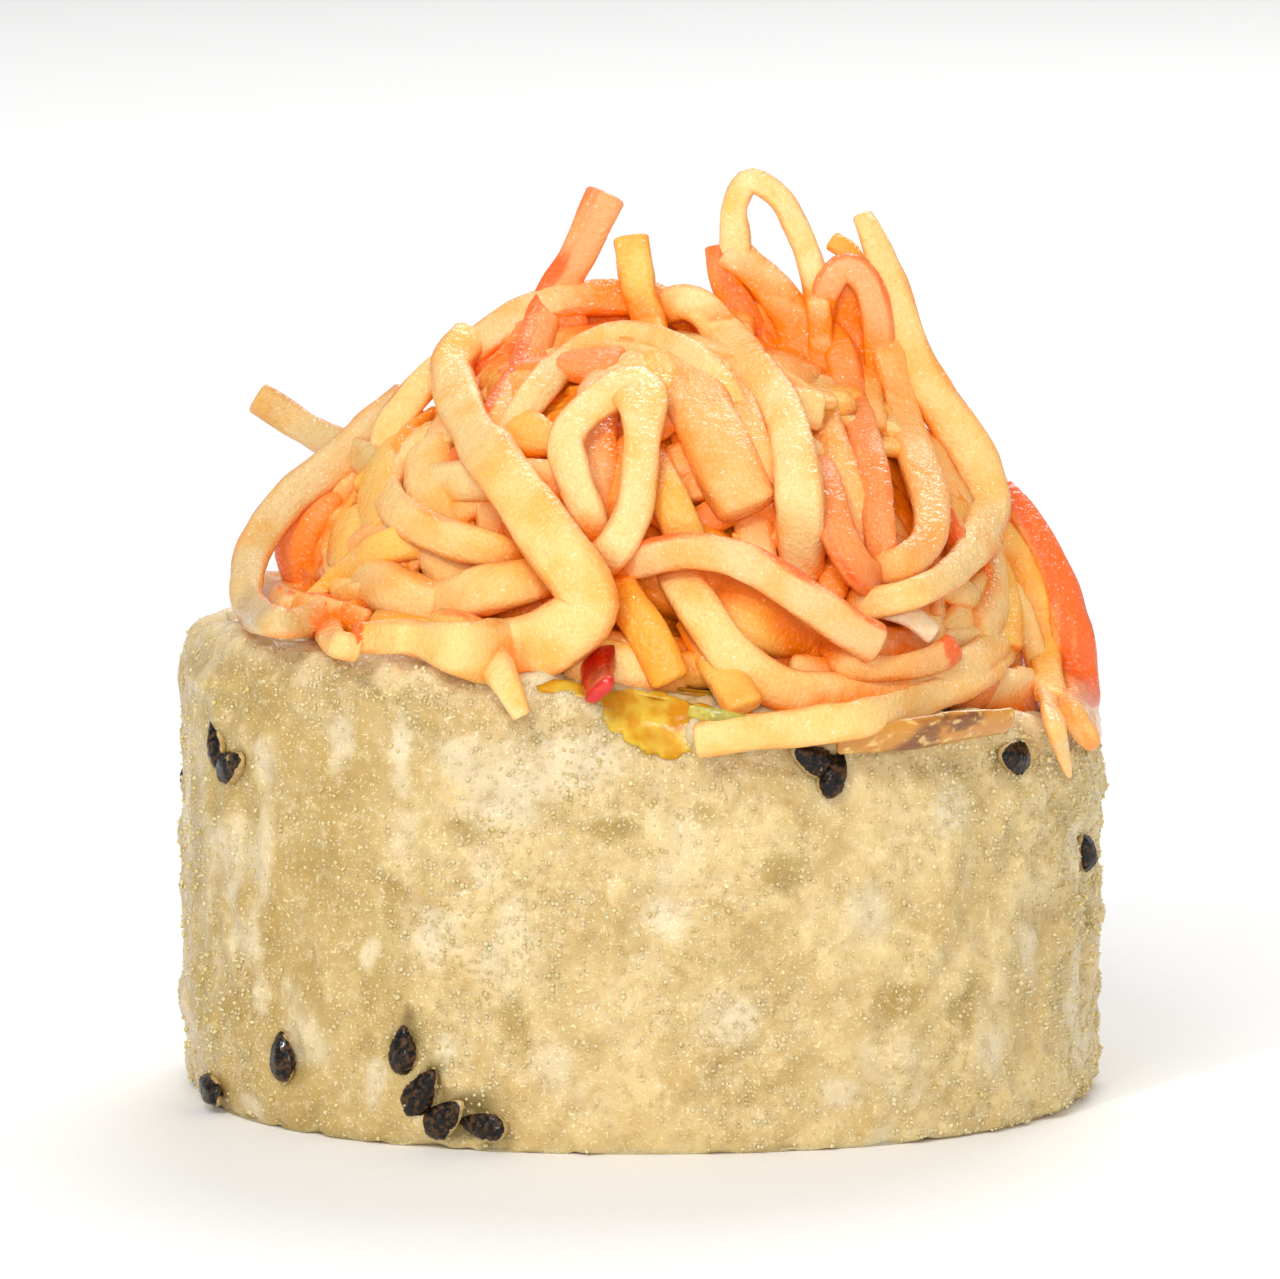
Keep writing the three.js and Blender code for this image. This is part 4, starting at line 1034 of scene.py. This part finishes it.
def drawn_strands(rng):
    strands = Strands(rng, *FINE)
    for name, (widths, tint, *route) in STRANDS.items():
        middle = spline([drawn_point(*point) for point in route], strands.spacing)
        strands.add_strand(middle, widths, tint, RED_SIDES.get(name, NO_RED), RED_ENDS.get(name, 0),
                           PALE_ENDS.get(name, 0), (0, TAPERED.get(name, 0)), 1)
    return strands


def seen_from_front(points):
    """The (u, v) at which the eye sees each point."""
    rays = points - EYE
    reach = EYE_DISTANCE / (rays @ FORWARD)
    on_plane = EYE + rays * reach[:, None]
    return on_plane @ RIGHT, on_plane @ UP


OUTLINE_MIDDLE, OUTLINE_RADII = (0.5, 22), (18.9, 18.6)  # the loose strands stay inside this, as seen


ROUTE_STEP = 0.9  # mm between the points of a loose strand's route


class Wanderers:
    """Strands that wander over the core, each lying on those that are there already."""

    def __init__(self, rng):
        self.rng = rng
        self.feet, self.lifts, self.widths = np.zeros((0, 3)), np.zeros(0), np.zeros(0)

    def route(self, direction, heading, length, width, base, most, bend):
        """A middle line that starts in a direction from the core's middle. None if it would lie too high."""
        directions = []
        turning = self.rng.uniform(-1, 1) * bend
        for _ in range(round(length / ROUTE_STEP)):
            directions.append(direction)
            turning = 0.9 * turning + 0.1 * self.rng.uniform(-2.2, 2.2) * bend
            axis = unit(np.cross(direction, heading))
            scale = ROUTE_STEP / np.linalg.norm(heading * CORE_RADII)
            direction = unit(direction + heading * scale)
            side = np.cross(axis, direction)
            heading = unit(side + axis * turning * ROUTE_STEP)
            heading = unit(heading - direction * (heading @ direction))
        directions = np.array(directions)
        feet = directions * CORE_RADII + CORE_CENTRE
        needed = np.full(len(feet), base)
        if len(self.feet):
            apart = np.linalg.norm(feet[:, None] - self.feet[None], axis=-1)
            on_top = self.lifts + 0.33 * (width + self.widths)
            reach = 0.42 * (width + self.widths)
            needed = np.maximum(needed, np.where(apart < reach, on_top, 0).max(1))
        lifts = needed.copy()
        for _ in range(14):
            lifts[1:-1] = np.maximum(needed[1:-1], 0.3 * lifts[1:-1] + 0.35 * (lifts[:-2] + lifts[2:]))
        if lifts.max() > most:
            return None
        points = self.placed(feet, lifts)
        self.feet = np.vstack([self.feet, feet])
        self.lifts = np.concatenate([self.lifts, lifts])
        self.widths = np.concatenate([self.widths, np.full(len(feet), width)])
        return points

    def placed(self, feet, lifts):
        """The feet raised by their lifts: low at the front, inside the heap's outline, clear of the cut."""
        lifts = np.minimum(lifts, 0.2 + 3.8 * smooth_step(feet[:, 1], 3, 12))
        for _ in range(12):
            points = feet + outward(feet) * lifts[:, None]
            u, v = seen_from_front(points)
            across = (u - OUTLINE_MIDDLE[0]) / OUTLINE_RADII[0]
            up = (v - OUTLINE_MIDDLE[1]) / OUTLINE_RADII[1]
            lifts = np.where(across**2 + up**2 > 1, lifts * 0.8 - 0.05, lifts)
        floor = cut_height(points[:, 0], points[:, 1]) + REST
        deficit = np.clip(floor - points[:, 2], 0, 4)
        points = points + unit(flattened(points)) * deficit[:, None] * 0.6
        points[:, 2] = np.maximum(points[:, 2], cut_height(points[:, 0], points[:, 1]) + REST)
        return points


# How often each tint comes among the loose strands.
TINT_SHARES = {
    "cream": 0.24, "pale": 0.16, "yellow": 0.2, "grey": 0.04, "peach": 0.12, "pink": 0.04, "blush": 0.08,
    "amber": 0.12, "salmon": 0.05,
}
# The loose strands in the order in which they are laid. Ranges of degrees round the heap and of height (1 is
# the core's top), how many, the range of their own lift, the most that they rise, and ranges of length and
# width.
LAYERS = [
    ((180, 360), (0, 0.97), 110, (-0.3, 0.3), 9, (5, 16), (1.8, 3.2)),
    ((-5, 185), (0.02, 0.98), 90, (0, 0.4), 2.4, (10, 22), (1.5, 2.6)),
    ((15, 165), (0.05, 0.85), 50, (0.4, 1.4), 4, (12, 26), (1.4, 2.2)),
]
LOW_LAYER = ((-10, 190), (0.02, 0.99), 130, (-0.3, 0.2), 1.6, (6, 15), (1.4, 2.4))  # passes under the others


def lay(strands, wanderers, turns, heights, count, base, most, lengths, widths):
    """Lays strands of one layer, and gives up when too many in it would lie too high."""
    rng, made = strands.rng, 0
    odds = np.array(list(TINT_SHARES.values()))
    for _ in range(count * 5):
        turn = math.radians(rng.uniform(*turns))
        height = rng.uniform(*heights)
        flat = math.sqrt(1 - height * height)
        direction = np.array((flat * math.cos(turn), flat * math.sin(turn), height))
        heading = rng.normal(size=3)
        heading = unit(heading - direction * (heading @ direction))
        width = rng.uniform(*widths)
        middle = wanderers.route(direction, heading, rng.uniform(*lengths), width,
                                 rng.uniform(*base), most, rng.uniform(0.04, 0.2))
        if middle is None:
            continue
        red = (rng.choice((-1, 1)), rng.uniform(0.2, 1.2), rng.uniform(0.4, 1))
        if rng.uniform() < 0.6:
            red = NO_RED
        tapers = tuple(rng.uniform(2, 5) if rng.uniform() < 0.3 else 0 for _ in range(2))
        tint = list(TINT_SHARES)[rng.choice(len(odds), p=odds / odds.sum())]
        widths_along = width * rng.uniform(0.8, 1.2, 4)
        strands.add_strand(spline(middle[::2], strands.spacing), widths_along, tint, red, tapers=tapers)
        made += 1
        if made == count:
            return


def shreds(rng):
    """Strands behind, beside and under those of the photograph."""
    strands, wanderers = Strands(rng, *COARSE), Wanderers(rng)
    for layer in LAYERS:
        lay(strands, wanderers, *layer)
    lay(strands, Wanderers(rng), *LOW_LAYER)
    return strands


# The patches of sauce on the rim: degrees round the roll, mm in from the rim's edge, and how far each
# reaches along the rim and across it.
PUDDLES = [
    (275, 2.2, 3.2, 2.6), (270.5, 1, 0.9, 1), (273, 0.5, 0.7, 1), (275.4, 0.1, 0.7, 1.1),
    (278, 0.3, 0.9, 1.1), (281, 0.9, 1.2, 1), (287, 2.6, 3, 1.6), (264, 2.8, 3.4, 1),
]
RIM_EDGE = 23.2  # mm up the outside
SAUCE_DEPTH = 0.4  # from its top to its underside, which lies in the batter


def rim_sauce():
    """Golden sauce that has run from the heap over the rim and stops in a jagged edge."""
    angles = np.radians(np.linspace(250, 294, 200))
    profile, fine_rows = roll_profile()
    t = np.arange(fine_rows) * ROW
    chosen = (t > 17) & (profile[:fine_rows, 0] < WALL - 0.3)
    inner = [(inset, 1, 0.35) for inset in np.arange(WALL - 0.2, 7.4, 0.25)]
    t = np.concatenate([t[chosen], t[chosen][-1] + 0.25 * np.arange(1, len(inner) + 1)])[:, None]
    top = ring_grid(angles, np.vstack([profile[:fine_rows][chosen], inner]))
    normals = unit(np.cross(np.gradient(top, axis=1), np.gradient(top, axis=0)))
    across = np.degrees(angles)[None, :] + 0 * t
    cover = np.full(across.shape, -1.0)
    for degrees, inward, width, reach in PUDDLES:
        away = (across - degrees) * math.radians(MEAN_RADIUS) / width
        cover = np.maximum(cover, 1 - np.hypot(away, (t - RIM_EDGE - inward) / reach))
    cover = cover + 0.14 * noise(top, 0.8, 61) + 0.12 * noise(top, 0.35, 62)
    thick = 0.42 * smooth_step(cover, 0.02, 0.2) - 0.3 + 0.05 * noise(top, 1.4, 63)
    below = top + normals * (thick - SAUCE_DEPTH)[..., None]
    grid = np.concatenate([below[::-1], top + normals * thick[..., None]])
    rows, columns = grid.shape[:2]
    starts = [row * columns for row in range(rows)]
    caps = [starts, [start + columns - 1 for start in starts][::-1]]
    shape = Shape()
    shape.add(grid, grid_faces(rows, columns, wrap_rows=True, wrap_columns=False) + caps)
    shape.make("rim_sauce", sauce_finish(), "crab_heap")


# The ends of fillings that show under the heap at the front: the filling, its widths and its route.
FILLING_ENDS = {
    "omelette_edge": ("filling_omelette", (1.2, 1.7, 1.9, 1.6), (10.2, 17.7, 4.4), (13, 18.1, 4.4),
                      (16, 18.6, 3.6), (18.9, 19, 2.6)),
    "pepper_end": ("filling_pepper", (1.9, 2.1, 1.9), (-2.6, 23.4, 1.8), (-2.4, 21.7, 2.8),
                   (-2.3, 20.3, 3.4)),
    "avocado_end": ("filling_avocado", (0.6, 0.9, 0.7), (2.4, 19.3, 4), (3.8, 19, 4.2), (5.2, 18.8, 4)),
}


def filling_ends(finishes):
    for name, (slot, widths, *route) in FILLING_ENDS.items():
        strands = Strands(np.random.default_rng(SEED + 11), *FINE)
        strands.add_strand(spline([drawn_point(*point) for point in route], strands.spacing), widths, "amber")
        strands.make(name, finishes[slot], slot)


CORE_ROWS, CORE_COLUMNS = 110, 260


def heap_core():
    """What the strands lie on: more shreds, packed in sauce."""
    turn = np.linspace(0, 2 * math.pi, CORE_COLUMNS, endpoint=False)[None, :]
    polar = np.linspace(0.995 * math.pi, 0.005 * math.pi, CORE_ROWS)[:, None]
    direction = points_of(np.sin(polar) * np.cos(turn), np.sin(polar) * np.sin(turn), np.cos(polar))
    grid = direction * CORE_RADII + CORE_CENTRE
    warped = grid + 2.2 * points_of(*(noise(grid, 4, seed) for seed in (51, 52, 53)))
    ridges = 1 - np.abs(noise(warped * (0.35, 1, 1), 1.5, 54)) * 1.6
    other = 1 - np.abs(noise(warped * (1, 0.8, 0.35), 1.4, 55)) * 1.6
    height = 0.6 * np.maximum(ridges, other) - 0.85 + 0.3 * noise(grid, 4, 56) + 0.12 * noise(grid, 0.7, 59)
    grid = grid + outward(grid) * height[..., None]
    tucked = 0.1 * smooth_step(27 - grid[..., 2], 0, 4) * smooth_step(-direction[..., 1], 0, 0.5)
    grid[..., 1] *= 1 - tucked
    level = cut_height(grid[..., 0], grid[..., 1]) + 0.55
    grid[..., 2] = np.maximum(grid[..., 2], level + 0.15 * noise(grid, 2, 57))
    flow = warped * (0.6, 1, 1)
    # Painted shade: the core's hollows are coloured strong orange, partly as sauce.
    deep = np.clip(-0.9 * height - 0.15, 0, 0.85)
    red = np.clip(noise(grid, 2.4, 58) * 1.6 - 0.9, 0, 0.6)
    shape = Shape()
    shape.add_tube(grid, flow=flow.reshape(-1, 3), red=red.ravel(), deep=deep.ravel(),
                   tint=np.broadcast_to(rgb(*TINTS["amber"]), (red.size, 4)))
    return shape


COVER_CELLS, COVER_REACH, COVER_BLUR = 120, 1.8, 2  # the map of directions: cells, reach, blur in cells


def cover_of(points):
    """How high each point lies over the core, in mm, and the cell of a map of directions that it is in."""
    local = (points - CORE_CENTRE) / CORE_RADII
    size = np.linalg.norm(local, axis=1)
    flat = local[:, :2] / (size + local[:, 2] + 0.3)[:, None]
    cell = np.clip((flat / COVER_REACH + 0.5) * COVER_CELLS, 0, COVER_CELLS - 1).astype(int)
    return (size - 1) * CORE_RADII.mean(), cell[:, 0], cell[:, 1]


def shade_and_soak(shapes):
    """Paints shade: deepens the colour of what lies low between higher strands, as occlusion would, and where
    the sauce gathers.
    """
    points = [np.vstack(shape.points) for shape in shapes]
    lift, column, row = cover_of(np.vstack(points))
    top = np.zeros((COVER_CELLS, COVER_CELLS))
    np.maximum.at(top, (column, row), lift)
    steps = range(-COVER_BLUR, COVER_BLUR + 1)
    blurred = sum(np.roll(top, (across, down), (0, 1)) for across in steps for down in steps)
    blurred = blurred / len(steps) ** 2
    for shape, own in zip(shapes, points):
        lift, column, row = cover_of(own)
        # Painted shade: how far each point lies below the blurred top of the heap around it.
        under = smooth_step(blurred[column, row] - lift, 0.2, 2.2)
        shape.values["deep"] = [np.clip(np.concatenate(shape.values["deep"]) + under, 0, 1)]


def crab_heap():
    core, drawn = heap_core(), drawn_strands(np.random.default_rng(SEED + 9))
    loose = shreds(np.random.default_rng(SEED + 10))
    shade_and_soak([core, drawn, loose])
    core.make("crab_core", crab_finish("crab_core", wet=0.4), "crab_heap")
    drawn.make("crab_strands", crab_finish("crab_strand"), "crab_heap")
    loose.make("crab_shreds", crab_finish("crab_shred"), "crab_heap")


# --- Stage, light and camera -----------------------------------------------------------------------

TARGET = np.array((0, 0, 23.2))  # what the camera looks at
VIEW_WIDTH = 66  # mm across the picture at the target
SENSOR = 36  # mm
FLOOR = 4  # m from its middle to its edges


def aim(item, place, target):
    item.location = place
    item.rotation_euler = (Vector(target) - Vector(place)).to_track_quat("-Z", "Y").to_euler()
    bpy.context.scene.collection.objects.link(item)


def camera():
    data = bpy.data.cameras.new("camera")
    place = (EYE + AXIS) * MM
    target = (TARGET + AXIS) * MM
    data.sensor_width = SENSOR
    data.lens = SENSOR * np.linalg.norm(target - place) / (VIEW_WIDTH * MM)
    data.clip_start, data.clip_end = 0.02, 20
    item = bpy.data.objects.new("camera", data)
    aim(item, place.tolist(), target.tolist())
    bpy.context.scene.camera = item


# The soft lights: place and size across in m, and power in W.
LIGHTS = {
    "key": ((-0.14, -0.55, 0.6), 0.26, 1.7),
    "spark": ((-0.3, -0.6, 0.5), 0.06, 1.4),
    "fill": ((0.08, -0.66, 0.2), 0.2, 1.2),
    "back": ((0.1, 0.55, 0.6), 0.5, 2.8),
}
LIT = (0, 0, 0.022)  # what they shine at, in m
WORLD_STRENGTH = 0.5


def lights():
    for name, (place, size, power) in LIGHTS.items():
        data = bpy.data.lights.new(name, "AREA")
        data.shape = "DISK"
        data.size, data.energy = size, power
        aim(bpy.data.objects.new(name, data), place, LIT)
    world = bpy.data.worlds.new("studio")
    bpy.context.scene.world = world
    world.use_nodes = True
    background = next(node for node in world.node_tree.nodes if node.type == "BACKGROUND")
    background.inputs["Color"].default_value = (1, 1, 1, 1)
    background.inputs["Strength"].default_value = WORLD_STRENGTH


def bare_floor():
    mesh = bpy.data.meshes.new("floor")
    corners = [(-FLOOR, -FLOOR, 0), (FLOOR, -FLOOR, 0), (FLOOR, FLOOR, 0), (-FLOOR, FLOOR, 0)]
    mesh.from_pydata(corners, [], [(0, 1, 2, 3)])
    f = Finish("pale_floor", roughness=0.7)
    shade = f.step(f.noise(0.6, 2), 0.3, 0.7)
    mesh.materials.append(f.finish(f.mix(shade, rgb(250, 250, 249), rgb(252, 252, 251))))
    floor = bpy.data.objects.new("floor", mesh)
    bpy.context.scene.collection.objects.link(floor)


# --- The whole -------------------------------------------------------------------------------------

SEED = 12

surface = rice_body(np.random.default_rng(SEED))
batter_crumbs(surface, np.random.default_rng(SEED + 1))
sesame_seeds(np.random.default_rng(SEED + 2))
nori_sheet()

finishes = {
    "filling_avocado": filling_finish("avocado", (150, 140, 30), (206, 186, 62), (236, 222, 120), 3),
    "filling_pepper": filling_finish("red_pepper", (160, 6, 0), (206, 14, 0), (226, 44, 8), 4),
    "filling_cucumber": filling_finish("cucumber", (74, 92, 20), (176, 186, 84), (214, 216, 130), 3),
    "filling_omelette": filling_finish("omelette", (132, 74, 12), (206, 140, 42), (244, 206, 128), 2,
                                       (0.5, 1, 1)),
}
for order, (name, rule) in enumerate(FILLINGS.items()):
    filling(name, finishes[name], np.random.default_rng(SEED + 4 + order), **rule)

filling_ends(finishes)
rim_sauce()
crab_heap()

bare_floor()
lights()
camera()
bpy.context.scene.view_settings.view_transform = "Standard"
